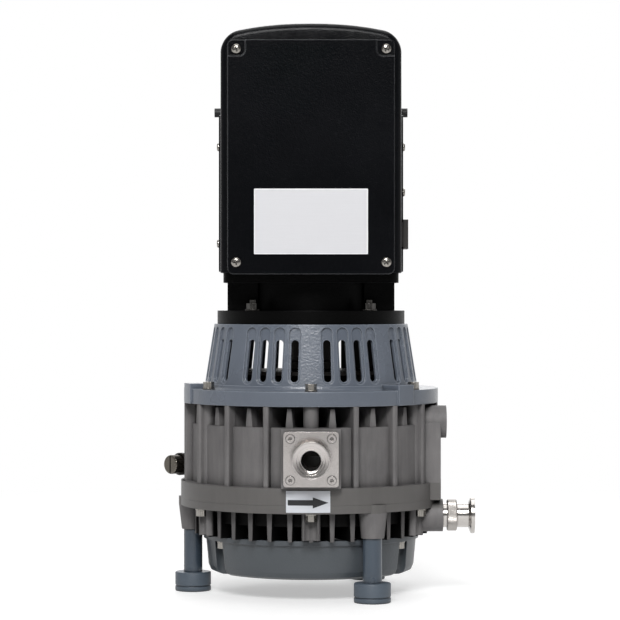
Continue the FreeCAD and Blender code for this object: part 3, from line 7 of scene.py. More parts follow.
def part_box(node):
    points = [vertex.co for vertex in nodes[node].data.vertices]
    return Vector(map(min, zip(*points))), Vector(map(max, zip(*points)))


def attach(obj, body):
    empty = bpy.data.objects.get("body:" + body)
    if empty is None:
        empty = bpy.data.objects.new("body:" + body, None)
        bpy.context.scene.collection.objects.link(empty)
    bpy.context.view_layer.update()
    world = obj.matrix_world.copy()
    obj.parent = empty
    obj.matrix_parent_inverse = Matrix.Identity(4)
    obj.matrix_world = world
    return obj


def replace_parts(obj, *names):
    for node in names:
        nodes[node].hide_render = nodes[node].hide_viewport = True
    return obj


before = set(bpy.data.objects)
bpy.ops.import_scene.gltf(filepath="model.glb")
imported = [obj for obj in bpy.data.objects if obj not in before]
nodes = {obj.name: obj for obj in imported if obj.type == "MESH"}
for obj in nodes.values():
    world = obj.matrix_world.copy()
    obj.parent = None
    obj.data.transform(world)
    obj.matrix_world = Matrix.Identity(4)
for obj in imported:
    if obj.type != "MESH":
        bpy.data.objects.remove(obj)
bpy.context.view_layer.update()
print("frame loaded with", len(nodes), "nodes")


# camera, lamps, world and floor
photoWidth = 620
camera = {
    "distance": 2.13,
    "height": 0.248,
    "lens": 147.2,
    "sensor": 36,
    "shiftX": -1 / photoWidth,
    "shiftY": -15 / photoWidth,
    "clip": (0.05, 60),
}
lampTarget = Vector((0, 0, 0.24))
lamps = {
    "front": {"place": (-0.2, -2.4, 1.82), "size": (1.2, 1.0), "power": 78},
    "left": {"place": (-2.2, -0.5, 1.1), "size": (0.9, 1.9), "power": 2},
    "right": {"place": (2.2, -0.4, 1.0), "size": (0.9, 1.9), "power": 3},
    "top": {"place": (0.0, 0.2, 2.2), "size": (1.8, 1.8), "power": 20},
    "back": {"place": (0.3, 2.4, 1.4), "size": (2.0, 1.6), "power": 20},
}
world = {
    "light": 0.13,
    "mirrored": (0.12, 1.0),  # on the camera's side and behind the pump
    "towards": (0.0, 0.95),
}
floor = {
    "reach": 6.0,
    "whites": (0.62, 0.6107),
    "roughness": 0.7,
    "glow": 0.44,
    "near": 0.32,
    "far": 1.1,
}


def srgb(red, green, blue):
    # a colour as seen on screen, 0 to 255, made linear
    def channel(value):
        share = value / 255
        return share / 12.92 if share <= 0.04045 else ((share + 0.055) / 1.055) ** 2.4
    return (channel(red), channel(green), channel(blue), 1.0)


class Wire:
    # a socket, and the Math nodes that sums on it add
    def __init__(self, web, socket):
        self.web = web
        self.socket = socket

    def sum(self, operation, first, second=0.0):
        return self.web.node("ShaderNodeMath", {"operation": operation}, {0: first, 1: second})

    def __add__(self, other):
        return self.sum("ADD", self, other)

    def __radd__(self, other):
        return self.sum("ADD", other, self)

    def __sub__(self, other):
        return self.sum("SUBTRACT", self, other)

    def __rsub__(self, other):
        return self.sum("SUBTRACT", other, self)

    def __mul__(self, other):
        return self.sum("MULTIPLY", self, other)

    def __rmul__(self, other):
        return self.sum("MULTIPLY", other, self)

    def __gt__(self, other):
        return self.sum("GREATER_THAN", self, other)

    def __lt__(self, other):
        return self.sum("LESS_THAN", self, other)

    def sine(self):
        return self.sum("SINE", self)

    def root(self):
        return self.sum("SQRT", self)

    def most(self, other):
        return self.sum("MAXIMUM", self, other)


class Web:
    # the nodes of one material or of the world
    def __init__(self, tree):
        self.tree = tree

    def node(self, kind, settings=None, inputs=None, out=0):
        added = self.tree.nodes.new(kind)
        for key, value in (settings or {}).items():
            if key == "stops":
                for k, (at, colour) in enumerate(value):
                    stops = added.color_ramp.elements
                    stop = stops[k] if k < 2 else stops.new(at)
                    stop.position, stop.color = at, colour
            else:
                setattr(added, key, value)
        for key, value in (inputs or {}).items():
            self.feed(added.inputs[key], value)
        return Wire(self, added.outputs[out])

    def feed(self, socket, value):
        if isinstance(value, Wire):
            self.tree.links.new(value.socket, socket)
        else:
            socket.default_value = value

    def range(self, value, low, high, newLow=0.0, newHigh=1.0):
        return self.node("ShaderNodeMapRange", None, {
            "Value": value, "From Min": low, "From Max": high, "To Min": newLow, "To Max": newHigh})

    def seen(self, *rays):
        # 1 for the named kinds of ray, else 0
        kinds = [self.node("ShaderNodeLightPath", out=kind) for kind in rays]
        most = kinds[0]
        for kind in kinds[1:]:
            most = most.most(kind)
        return most


class Finish(Web):
    # one material and the nodes that make it
    def __init__(self, name, **fixed):
        self.material = bpy.data.materials.new(name)
        self.material.use_nodes = True
        Web.__init__(self, self.material.node_tree)
        self.shader = self.tree.nodes["Principled BSDF"]
        for socket, value in fixed.items():
            self.shader.inputs[socket.replace("_", " ")].default_value = value
        self.place = self.node("ShaderNodeTexCoord", out="Object")

    def axes(self):
        # x, y and z of the point, in metres
        split = self.node("ShaderNodeSeparateXYZ", None, {0: self.place})
        return [split] + [Wire(self, split.socket.node.outputs[k]) for k in (1, 2)]

    def noise(self, scale, detail=4.0, roughness=0.5, place=None):
        return self.node("ShaderNodeTexNoise", None, {
            "Vector": place or self.place, "Scale": scale,
            "Detail": detail, "Roughness": roughness})

    def cells(self, scale, distance="EUCLIDEAN", randomness=1.0):
        return self.node("ShaderNodeTexVoronoi", {"feature": "F1", "distance": distance}, {
            "Vector": self.place, "Scale": scale, "Randomness": randomness})

    def stretched(self, along, across, upright):
        # the same coordinates, squeezed or drawn out by axis
        return self.node("ShaderNodeMapping", None,
                         {"Vector": self.place, "Scale": (along, across, upright)})

    def vector(self, operation, first, second=(0, 0, 0), out=0):
        return self.node("ShaderNodeVectorMath", {"operation": operation},
                         {0: first, 1: second}, out)

    def reach(self, through, along):
        # how far the point is from an axis
        away = self.vector("SUBTRACT", self.place, through)
        return self.vector("LENGTH", self.vector("CROSS_PRODUCT", away, along), out=1)

    def mix(self, factor, first, second):
        return self.node("ShaderNodeMix", {"data_type": "RGBA"},
                         {0: factor, 6: first, 7: second}, 2)

    def bump(self, height, strength, distance, **normal):
        return self.node("ShaderNodeBump", None, {
            "Height": height, "Strength": strength, "Distance": distance, **normal})

    def rounded(self, radius):
        # edges catch the light as if they were broken by a small radius
        return self.node("ShaderNodeBevel", {"samples": 4}, {"Radius": radius})

    def crevices(self, reach):
        # 1 in the open, less in corners and recesses
        return self.node("ShaderNodeAmbientOcclusion", {"samples": 6}, {"Distance": reach}, "AO")

    def creviceShaded(self, colour, look):
        # painted shade: the colour is darkened in corners and recesses, where ambient occlusion
        # finds them
        unshaded = self.range(self.crevices(look["creviceShadeReach"]), *look["creviceShadeRange"])
        return self.mix(unshaded, look["creviceShade"], colour)

    def edgeHighlight(self, colour, look):
        # painted highlight: the colour is lightened along the edges, where the rounded normal parts
        # from the true one
        flat = self.node("ShaderNodeNewGeometry", out=1)
        alike = self.vector("DOT_PRODUCT", self.rounded(look["edge"]), flat, out=1)
        highlit = self.range(alike, *look["edgeHighlightRange"], 0.0, look["edgeHighlightShare"])
        return self.mix(highlit, colour, look["edgeHighlight"])

    def paint(self, **links):
        for socket, wire in links.items():
            self.feed(self.shader.inputs[socket.replace("_", " ")], wire)
        return self.material


def wear(material, *names):
    # gives CAD nodes their material
    for name in names:
        piece = nodes[name]
        if not piece.material_slots:
            piece.data.materials.append(material)
        for place in piece.material_slots:
            place.material = material


# sand-cast aluminium of the pump casing, with its machined joint
casting = {
    "dark": srgb(84, 82, 83),
    "mid": srgb(107, 105, 105),
    "light": srgb(124, 121, 121),
    "joint": srgb(90, 88, 86),
    # painted shade in the gaps between the lower fins
    "finsPaintedShade": srgb(7, 7, 7),
    # painted shade in the casting's corners and recesses
    "creviceShade": srgb(20, 19, 19),
    "creviceShadeReach": 0.012,
    "creviceShadeRange": (0.1, 0.75),
    "finsLow": 0.049,
    "finsHigh": 0.0722,
    "finsReach": (0.0967, 0.0985),
    "jointReach": 0.1076,
    "jointLow": 0.0726,
    "jointHigh": 0.0939,
    "jointLines": 9000,
    "blotch": 16,
    "streak": 240,
    "streakDrawn": (1, 1, 0.12),
    "grain": 1500,
    "pits": 1900,
    "metallic": 0.25,
    "roughness": (0.52, 0.7),
    "jointGloss": 0.16,
    "relief": 0.0004,
    "edge": 0.0009,
}


def castFinish():
    coat = Finish("castAluminium", Specular_IOR_Level=0.4)
    z = coat.axes()[2]
    blotch = coat.noise(casting["blotch"], 6, 0.6)
    grain = coat.noise(casting["grain"], 4, 0.6)
    streak = coat.noise(casting["streak"], 3, 0.5, coat.stretched(*casting["streakDrawn"]))
    pits = coat.cells(casting["pits"])
    tone = coat.node("ShaderNodeValToRGB", {"stops": [
        (0.3, casting["dark"]), (0.7, casting["light"]), (0.5, casting["mid"])]},
        {0: blotch * 0.5 + streak * 0.25 + grain * 0.25})
    reach = coat.reach((0, 0, 0), (0, 0, 1))
    outer = reach > casting["jointReach"]
    joint = outer * (z > casting["jointLow"]) * (z < casting["jointHigh"])
    lines = (z * casting["jointLines"] + blotch * 6).sine() * 0.5 + 0.5
    colour = coat.creviceShaded(coat.mix(joint * 0.75, tone, casting["joint"]), casting)
    # painted shade: the gaps between the lower fins go dark towards the axis, where shade falls
    between = (z > casting["finsLow"]) * (z < casting["finsHigh"])
    deep = between * coat.range(reach, *casting["finsReach"], 0.95, 0.0)
    colour = coat.mix(deep, colour, casting["finsPaintedShade"])
    metal = casting["metallic"] + deep * (1 - casting["metallic"])
    rough = coat.range(grain, 0.3, 0.7, *casting["roughness"]) - joint * casting["jointGloss"]
    skin = (grain * 0.6 + pits * 0.4 + streak * 0.3) * (1 - joint * 0.8) + lines * joint * 0.05
    normal = coat.bump(skin, 0.5, casting["relief"], Normal=coat.rounded(casting["edge"]))
    return coat.paint(Base_Color=colour, Metallic=metal, Roughness=rough, Normal=normal)


# grey enamel of the bell, the fan cover and the legs
enamel = {
    "dark": srgb(85, 91, 101),
    "light": srgb(98, 105, 116),
    "cloud": 9,
    "peel": 520,
    "relief": 0.0006,
    "roughness": (0.22, 0.32),
    "edge": 0.0012,
    # painted highlight colour along the edges
    "edgeHighlight": srgb(150, 157, 168),
    "edgeHighlightRange": (0.995, 0.9),  # how alike the normal and its rounded copy are
    "edgeHighlightShare": 0.6,
    "gloss": 0.6,
    # painted shade in the enamel's corners and recesses
    "creviceShade": srgb(30, 34, 39),
    "creviceShadeReach": 0.005,
    "creviceShadeRange": (0.2, 0.8),
}
# painted shade: the fan cover's enamel is the bell's made darker, for the lower light on it
fanCoverShadedEnamel = dict(enamel, dark=srgb(60, 65, 69), light=srgb(70, 75, 80),
                      roughness=(0.36, 0.46), edgeHighlight=srgb(92, 98, 104))
# painted shade: the legs' enamel is darker than the bell's, for the lower light on them
legShadedEnamel = dict(enamel, dark=srgb(54, 64, 75), light=srgb(64, 75, 87), edgeHighlight=srgb(84, 95, 107))
footCoat = dict(legShadedEnamel, dark=srgb(68, 78, 88), light=srgb(80, 90, 101), peel=700,
                roughness=(0.42, 0.56), edge=0.0006)


def enamelFinish(name, look):
    coat = Finish(name, Metallic=0.0, Specular_IOR_Level=look["gloss"])
    cloud = coat.noise(look["cloud"], 5, 0.55)
    peel = coat.noise(look["peel"], 2, 0.4)
    specks = coat.noise(look["peel"] * 3, 1, 0.5)
    tone = coat.range(cloud * 0.8 + specks * 0.2, 0.35, 0.65)
    colour = coat.mix(tone, look["dark"], look["light"])
    colour = coat.edgeHighlight(coat.creviceShaded(colour, look), look)
    rough = coat.range(cloud, 0.3, 0.7, *look["roughness"])
    skin = peel + specks * 0.2
    normal = coat.bump(skin, 0.28, look["relief"], Normal=coat.rounded(look["edge"]))
    return coat.paint(Base_Color=colour, Roughness=rough, Normal=normal)


# satin black of the enclosure, its covers and the neck
blackCoat = dict(enamel, dark=srgb(5, 6, 8), light=srgb(10, 11, 14), peel=1100,
                 roughness=(0.2, 0.3), edge=0.0009, edgeHighlight=srgb(40, 41, 44), edgeHighlightShare=0.5,
                 gloss=0.11, creviceShade=srgb(2, 2, 3), creviceShadeReach=0.004)
# painted highlight: light lines along the front cover's edges
frontCoverCoat = dict(blackCoat, gloss=0.055, edgeHighlight=srgb(120, 121, 124), edgeHighlightShare=0.85)
neckCoat = dict(blackCoat, dark=srgb(2, 2, 2), light=srgb(5, 5, 5), roughness=(0.3, 0.42),
                gloss=0.06, edgeHighlightShare=0.1)


def metalFinish(name, look):
    # metal with fine rings turned about the piece's axis
    coat = Finish(name, Metallic=1.0)
    reach = coat.reach(look["through"], look["along"])
    smear = coat.noise(look["smear"], 4, 0.6)
    rings = (reach * look["rings"] + smear).sine() * 0.5 + 0.5
    fine = coat.noise(look["fine"], 2, 0.5)
    colour = coat.mix(smear * 0.5 + rings * 0.25 + fine * 0.25, look["dark"], look["light"])
    colour = coat.creviceShaded(colour, look)
    rough = coat.range(smear * 0.7 + fine * 0.3, 0.3, 0.7, *look["roughness"])
    skin = rings * 0.6 + fine * 0.4
    normal = coat.bump(skin, look["depth"], look["relief"], Normal=coat.rounded(look["edge"]))
    return coat.paint(Base_Color=colour, Roughness=rough, Normal=normal)


steel = {
    "through": (0, 0, 0),
    "along": (0, 0, 1),
    "rings": 9000,
    "smear": 60,
    "fine": 2200,
    "dark": srgb(164, 160, 156),
    "light": srgb(212, 208, 204),
    "roughness": (0.14, 0.24),
    "depth": 0.12,
    "relief": 0.0002,
    "edge": 0.0003,
    # painted shade round screw heads, in counterbores and in sockets
    "creviceShade": srgb(40, 37, 34),
    "creviceShadeReach": 0.0022,
    "creviceShadeRange": (0.2, 0.8),
}


def middleOf(name):
    low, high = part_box(name)
    return (low + high) / 2


inletMiddle = middleOf("inlet_plate")
nutMiddle = middleOf("exhaust_nut")
knobTurn = math.radians(48)  # of the ballast knob's axis, seen from above
knobAxis = (-math.cos(knobTurn), -math.sin(knobTurn), 0)
inletSteel = dict(steel, through=inletMiddle, along=(0, 1, 0), smear=30,
                  dark=srgb(176, 171, 168), light=srgb(218, 213, 210))
exhaustSteel = dict(steel, through=nutMiddle, along=(1, 0, 0))
nutSteel = dict(exhaustSteel, roughness=(0.36, 0.44), edge=0.0002, depth=0.06,
                dark=srgb(150, 146, 142), light=srgb(190, 186, 182))
plugSteel = dict(steel, through=middleOf("upper_port_plug"), along=(1, 0, 0))
knobSteel = dict(steel, through=middleOf("ballast_knob"), along=knobAxis,
                 dark=srgb(84, 80, 74), light=srgb(128, 123, 115), roughness=(0.22, 0.34))
zinc = dict(steel, rings=4000, dark=srgb(112, 109, 104), light=srgb(176, 172, 166),
            roughness=(0.16, 0.28), smear=240)
studSteel = dict(zinc, dark=srgb(44, 43, 42), light=srgb(104, 102, 99))
ground = dict(steel, dark=srgb(150, 150, 154), light=srgb(196, 196, 200))
milled = dict(steel, rings=5200, dark=srgb(150, 151, 154), light=srgb(188, 189, 192),
              roughness=(0.28, 0.42), depth=0.25)
blackened = dict(steel, rings=3000, dark=srgb(30, 29, 28), light=srgb(58, 56, 54),
                 roughness=(0.38, 0.55), smear=90)
dieCast = dict(steel, rings=1200, dark=srgb(70, 69, 68), light=srgb(104, 103, 102),
               roughness=(0.42, 0.6), depth=0.3, smear=120)


# rubber and moulded plastic
rubber = {
    "dark": srgb(17, 17, 18),
    "light": srgb(30, 30, 31),
    "cloud": 30,
    "grain": 900,
    "relief": 0.0003,
    "roughness": (0.62, 0.78),
    "gloss": 0.4,
    "edge": 0.0004,
}
plastic = dict(rubber, dark=srgb(14, 14, 15), light=srgb(26, 26, 28), grain=1400,
               roughness=(0.4, 0.52))
socketPlastic = dict(plastic, dark=srgb(30, 29, 28), light=srgb(44, 42, 40),
                     roughness=(0.26, 0.34))
fanPlastic = dict(plastic, dark=srgb(16, 14, 13), light=srgb(30, 27, 25), gloss=0.15)
tipPlastic = dict(rubber, dark=srgb(58, 44, 32), light=srgb(96, 76, 56), grain=2600,
                  roughness=(0.5, 0.64))
sleeve = dict(rubber, dark=srgb(16, 17, 26), light=srgb(28, 30, 42), grain=300,
              roughness=(0.22, 0.3))


def mouldedFinish(name, look):
    coat = Finish(name, Metallic=0.0, Specular_IOR_Level=look["gloss"])
    cloud = coat.noise(look["cloud"], 4, 0.5)
    leather = coat.cells(look["grain"])
    fleck = coat.noise(look["grain"] * 2, 2, 0.6)
    tone = coat.range(cloud * 0.5 + fleck * 0.5, 0.35, 0.65)
    colour = coat.mix(tone, look["dark"], look["light"])
    rough = coat.range(cloud, 0.3, 0.7, *look["roughness"])
    skin = leather + fleck * 0.3
    normal = coat.bump(skin, 0.2, look["relief"], Normal=coat.rounded(look["edge"]))
    return coat.paint(Base_Color=colour, Roughness=rough, Normal=normal)


# stacked sheets of the stator and rotor, wound wire, circuit board
lamination = {"dark": srgb(58, 58, 62), "light": srgb(122, 122, 127), "sheet": 0.0005}
winding = {"dark": srgb(92, 38, 16), "light": srgb(196, 112, 62), "wire": 0.0008}
board = {
    "mask": srgb(14, 62, 38),
    "track": srgb(30, 96, 60),
    "pad": srgb(196, 188, 160),
    "pitch": 0.0026,
}


def laminationFinish():
    coat = Finish("laminationSteel", Metallic=0.9)
    z = coat.axes()[2]
    sheets = (z * (2 * math.pi / lamination["sheet"])).sine() * 0.5 + 0.5
    stain = coat.noise(45, 5, 0.6)
    colour = coat.mix(sheets * 0.4 + stain * 0.6, lamination["dark"], lamination["light"])
    return coat.paint(Base_Color=colour, Roughness=coat.range(stain, 0.3, 0.7, 0.4, 0.58),
                      Normal=coat.bump(sheets, 0.35, 0.0002))


def windingFinish():
    coat = Finish("enamelledCopper", Metallic=0.65, Coat_Weight=0.5)
    x, y, z = coat.axes()
    reach = (x * x + y * y).root()
    wobble = coat.noise(70, 3, 0.5) * 5
    turns = 2 * math.pi / winding["wire"]
    wires = ((reach * turns + wobble).sine() + (z * turns + wobble).sine()) * 0.25 + 0.5
    tone = coat.noise(120, 3, 0.5)
    colour = coat.mix(wires * 0.7 + tone * 0.3, winding["dark"], winding["light"])
    return coat.paint(Base_Color=colour, Roughness=coat.range(tone, 0.3, 0.7, 0.28, 0.42),
                      Normal=coat.bump(wires, 0.7, 0.0004))


def boardFinish():
    coat = Finish("circuitBoard", Metallic=0.0, Coat_Weight=0.3)
    cells = coat.cells(1 / board["pitch"] / 3, distance="CHEBYCHEV", randomness=0.6)
    tracks = (coat.range(cells, 0.3, 0.34) - coat.range(cells, 0.42, 0.46)).most(0.0)
    pads = cells < 0.07
    colour = coat.mix(pads, coat.mix(tracks, board["mask"], board["track"]), board["pad"])
    weave = coat.noise(1500, 2, 0.5)
    skin = tracks + pads + weave * 0.1
    return coat.paint(Base_Color=colour, Roughness=coat.range(weave, 0.3, 0.7, 0.3, 0.42),
                      Metallic=pads * 0.8, Normal=coat.bump(skin, 0.4, 0.0001))


cast = castFinish()
greyEnamel = enamelFinish("greyEnamel", enamel)
fanCoverShadedPaint = enamelFinish("coverShadedEnamel", fanCoverShadedEnamel)
legShadedPaint = enamelFinish("legShadedEnamel", legShadedEnamel)
footEnamel = enamelFinish("footEnamel", footCoat)
blackSatin = enamelFinish("blackSatin", blackCoat)
coverSatin = enamelFinish("coverSatin", frontCoverCoat)
blackNeck = enamelFinish("blackNeck", neckCoat)
zincSteel = metalFinish("zincSteel", zinc)
groundSteel = metalFinish("groundSteel", ground)
milledAluminium = metalFinish("milledAluminium", milled)
blackenedSteel = metalFinish("blackenedSteel", blackened)
motorCast = metalFinish("motorCast", dieCast)
blackRubber = mouldedFinish("blackRubber", rubber)
blackPlastic = mouldedFinish("blackPlastic", plastic)
sealPlastic = mouldedFinish("sealPlastic", tipPlastic)
shrinkSleeve = mouldedFinish("shrinkSleeve", sleeve)
laminatedSteel = laminationFinish()

wear(cast, "lower_casing", "upper_casing")
wear(greyEnamel, "bell")
wear(fanCoverShadedPaint, "fan_cover")
wear(legShadedPaint, "leg_rear", "leg_left", "leg_front")
wear(footEnamel, "foot_rear", "foot_left", "foot_front")
wear(blackSatin, "enclosure", "front_cover", "side_panel_left", "side_panel_right")
wear(blackNeck, "motor_neck")
wear(zincSteel, "clamp_bolts", "bell_bolts", "fan_cover_screws", "cover_screws", "panel_screws",
     "motor_fasteners", "fan_seat_screw")
inletStainless = metalFinish("inletStainless", inletSteel)
wear(inletStainless, "inlet_plate", "inlet_screws")
exhaustStainless = metalFinish("exhaustStainless", exhaustSteel)
wear(exhaustStainless, "exhaust_adapter", "exhaust_nut", "exhaust_valve")
wear(metalFinish("knobStainless", knobSteel), "ballast_knob")
wear(metalFinish("plugStainless", plugSteel), "upper_port_plug")
wear(groundSteel, "crankshaft", "lower_bearing", "upper_bearing", "rear_bearing", "pin_bearing",
     "pin_crank_rear", "pin_crank_left", "pin_crank_right", "pin_crank_post_bearings",
     "pin_crank_lug_bearings")
wear(milledAluminium, "orbiting_scroll", "bearing_retainer")
wear(blackenedSteel, "lower_counterweight", "upper_counterweight", "ballast_body")
wear(motorCast, "motor_frame", "rear_shield")
wear(laminatedSteel, "stator", "rotor")
wear(windingFinish(), "windings")
wear(boardFinish(), "driver_board")
wear(shrinkSleeve, "board_capacitors")
wear(blackPlastic, "side_knobs", "power_socket")
wear(mouldedFinish("fanPlastic", fanPlastic), "pump_fan", "bell_fan")
wear(sealPlastic, "fixed_tip_seals", "orbiting_tip_seals")
wear(blackRubber, "casing_seal", "shaft_seals", "inlet_seal")
print("finishes made:", len(bpy.data.materials))


def finished(name, shape, material, body, outward=True):
    # the bmesh becomes a piece that rides on a body
    bmesh.ops.remove_doubles(shape, verts=shape.verts, dist=1e-6)
    if outward:
        bmesh.ops.recalc_face_normals(shape, faces=shape.faces)
    mesh = bpy.data.meshes.new(name)
    shape.to_mesh(mesh)
    shape.free()
    piece = bpy.data.objects.new(name, mesh)
    bpy.context.scene.collection.objects.link(piece)
    mesh.materials.append(material)
    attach(piece, body)
    return piece


def softShaded(piece, angle=35):
    # smooth shading, with edges over the angle kept sharp
    shape = bmesh.new()
    shape.from_mesh(piece.data)
    for face in shape.faces:
        face.smooth = True
    for edge in shape.edges:
        edge.smooth = len(edge.link_faces) == 2 and edge.calc_face_angle(0) < math.radians(angle)
    shape.to_mesh(piece.data)
    shape.free()
    return piece


facing = Matrix.Rotation(math.radians(90), 4, "X")  # from lying flat to facing the camera


def sheet(columns, rows, size=0.5):
    # a grid that stands facing the camera
    shape = bmesh.new()
    bmesh.ops.create_grid(shape, x_segments=columns, y_segments=rows, size=size, matrix=facing)
    return shape


def thickened(shape, thickness):
    # a sheet grown towards the camera
    grown = bmesh.ops.extrude_face_region(shape, geom=list(shape.faces))
    moved = [v for v in grown["geom"] if isinstance(v, bmesh.types.BMVert)]
    bmesh.ops.translate(shape, vec=(0, -thickness, 0), verts=moved)


def sliced(shape, place, way):
    # cuts every face along a plane and keeps both sides
    everything = list(shape.verts) + list(shape.edges) + list(shape.faces)
    bmesh.ops.bisect_plane(shape, geom=everything, plane_co=place, plane_no=way)


def redrawn(name, node, material, rule, cuts=()):
    # a copy of a CAD shape whose points are moved by a rule, in place of the node
    shape = bmesh.new()
    shape.from_mesh(nodes[node].data)
    bmesh.ops.remove_doubles(shape, verts=shape.verts, dist=1e-5)
    for place, way in cuts:
        sliced(shape, place, way)
    for v in shape.verts:
        rule(v.co)
    piece = softShaded(finished(name, shape, material, "pump_body", outward=False), 25)
    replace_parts(piece, node)


def cornered(width, height, thickness, corner, plane, x, z, lowCorner=None):
    # a block with rounded corners whose back lies on the plane y = plane
    shape = sheet(1, 1)
    bmesh.ops.scale(shape, vec=(width, 1, height), verts=shape.verts)
    for upper, radius in ((True, corner), (False, lowCorner or corner)):
        ends = [v for v in shape.verts if (v.co.z > 0) == upper]
        bmesh.ops.bevel(shape, geom=ends, offset=radius, affect="VERTICES", segments=5,
                        profile=0.5, material=-1)
    thickened(shape, thickness)
    bmesh.ops.translate(shape, vec=(x, plane, z), verts=shape.verts)
    return shape


def carved(shape, cutters):
    # cuts bmeshes out of another and gives what is left as a mesh
    holders = []
    for part in [shape] + cutters:
        bmesh.ops.recalc_face_normals(part, faces=part.faces)
        mesh = bpy.data.meshes.new("carving")
        part.to_mesh(mesh)
        part.free()
        holders.append(bpy.data.objects.new("carving", mesh))
        bpy.context.scene.collection.objects.link(holders[-1])
    for cutter in holders[1:]:
        knife = holders[0].modifiers.new("knife", "BOOLEAN")
        knife.operation, knife.solver, knife.object = "DIFFERENCE", "EXACT", cutter
    seen = holders[0].evaluated_get(bpy.context.evaluated_depsgraph_get())
    left = bpy.data.meshes.new_from_object(seen)
    for holder in holders:
        mesh = holder.data
        bpy.data.objects.remove(holder)
        bpy.data.meshes.remove(mesh)
    return left


def gathered(mesh, places):
    # copies of a mesh, one for each matrix
    shape = bmesh.new()
    for place in places:
        before = set(shape.verts)
        shape.from_mesh(mesh)
        bmesh.ops.transform(shape, matrix=place, verts=[v for v in shape.verts if v not in before])
    return shape


def brokenEdges(piece, width, segments=3, angle=40):
    # takes the sharp edges off
    bevel = piece.modifiers.new("brokenEdges", "BEVEL")
    bevel.width, bevel.segments = width, segments
    bevel.limit_method, bevel.angle_limit = "ANGLE", math.radians(angle)
    bevel.harden_normals = True


# blank rating plate on the front cover
ratingPlate = {
    "width": 0.0919,
    "height": 0.0529,
    "thickness": 0.0004,
    "corner": 0.0006,
    "low": 0.2809,
    "face": srgb(196, 196, 199),
    "grain": srgb(206, 206, 209),
}
# painted highlight: a lighter rim round the plate, for the light its bevelled edge catches
ratingHighlightRim = {
    "width": 0.0009,
    "thickness": 0.0003,
    "face": srgb(216, 216, 218),
    "grain": srgb(226, 226, 228),
}


def plateFinish(name, look):
    coat = Finish(name, Metallic=0.0)
    drawn = coat.noise(90, 4, 0.6, coat.stretched(0.4, 1, 18))
    fine = coat.noise(1800, 2, 0.5)
    colour = coat.mix(drawn * 0.7 + fine * 0.3, look["face"], look["grain"])
    return coat.paint(Base_Color=colour, Roughness=coat.range(fine, 0.3, 0.7, 0.4, 0.5),
                      Normal=coat.bump(fine, 0.08, 0.0001))


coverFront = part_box("front_cover")[0].y
ratingMiddle = ratingPlate["low"] + ratingPlate["height"] / 2


def blankPlate(look, inset, thickness):
    width, height = look["width"] - 2 * inset, look["height"] - 2 * inset
    return cornered(width, height, thickness, look["corner"], coverFront, 0, ratingMiddle)


finished("ratingHighlightRim", blankPlate(ratingPlate, 0, ratingHighlightRim["thickness"]),
         plateFinish("rimHighlightFoil", ratingHighlightRim), "pump_body")
finished("ratingPlate", blankPlate(ratingPlate, ratingHighlightRim["width"], ratingPlate["thickness"]),
         plateFinish("ratingFoil", ratingPlate), "pump_body")
print("rating plate made")


# flow arrow on a thin plate bent round the casing joint
arrowPlate = {
    "radius": 0.1092,
    "middle": -0.0023,
    "width": 0.0354,
    "low": 0.0743,
    "high": 0.0917,
    "thickness": 0.0003,
    "steps": 12,
    "face": srgb(190, 193, 199),
    "grain": srgb(208, 211, 216),
    "arrowLength": 0.0326,
    "arrowHead": 0.0126,
    "arrowHalf": 0.0044,
    "shaftHalf": 0.0022,
    "arrowLevel": 0.0823,
    "inkDepth": 0.0001,
}
arrowInk = dict(plastic, dark=srgb(26, 27, 30), light=srgb(34, 35, 38), grain=1500,
                roughness=(0.45, 0.55))


def bent(shape, look):
    # lays a flat shape in the x and z plane round the front of the pump
    for v in shape.verts:
        angle = (v.co.x + look["middle"]) / look["radius"]
        reach = look["radius"] - v.co.y
        v.co = Vector((reach * math.sin(angle), -reach * math.cos(angle), v.co.z))


def bentPlate(look):
    shape = sheet(look["steps"], 1)
    bmesh.ops.scale(shape, vec=(look["width"], 1, look["high"] - look["low"]), verts=shape.verts)
    bmesh.ops.translate(shape, vec=(0, 0, (look["low"] + look["high"]) / 2), verts=shape.verts)
    thickened(shape, look["thickness"])
    bent(shape, look)
    return shape


def arrowShape(look):
    shape = bmesh.new()
    half, wide, slim = look["arrowLength"] / 2, look["arrowHalf"], look["shaftHalf"]
    neck = half - look["arrowHead"]
    outline = [(-half, -slim), (neck, -slim), (neck, -wide), (half, 0), (neck, wide),
               (neck, slim), (-half, slim)]
    corners = [shape.verts.new((x, -look["thickness"], look["arrowLevel"] + z))
               for x, z in outline]
    bmesh.ops.triangulate(shape, faces=[shape.faces.new(corners)])
    for k in range(1, look["steps"]):
        sliced(shape, (-half + look["arrowLength"] * k / look["steps"], 0, 0), (1, 0, 0))
    thickened(shape, look["inkDepth"])
    bent(shape, look)
    return shape


finished("arrowPlate", bentPlate(arrowPlate), plateFinish("arrowFoil", arrowPlate),
         "pump_body")
finished("flowArrow", arrowShape(arrowPlate), mouldedFinish("arrowInk", arrowInk),
         "pump_body")
print("flow arrow made")


def spun(points, centre, along, steps):
    # a profile of (radius, length) pairs turned round an axis through centre
    shape = bmesh.new()
    spots = [shape.verts.new((radius, 0, length)) for radius, length in points]
    for first, second in zip(spots, spots[1:]):
        shape.edges.new((first, second))
    bmesh.ops.spin(shape, geom=list(shape.verts) + list(shape.edges), cent=(0, 0, 0),
                   axis=(0, 0, 1), angle=2 * math.pi, steps=steps, use_merge=True,
                   use_duplicate=False)
    bmesh.ops.remove_doubles(shape, verts=shape.verts, dist=1e-6)
    turn = Vector((0, 0, 1)).rotation_difference(Vector(along)).to_matrix().to_4x4()
    bmesh.ops.transform(shape, matrix=Matrix.Translation(centre) @ turn, verts=shape.verts)
    return shape


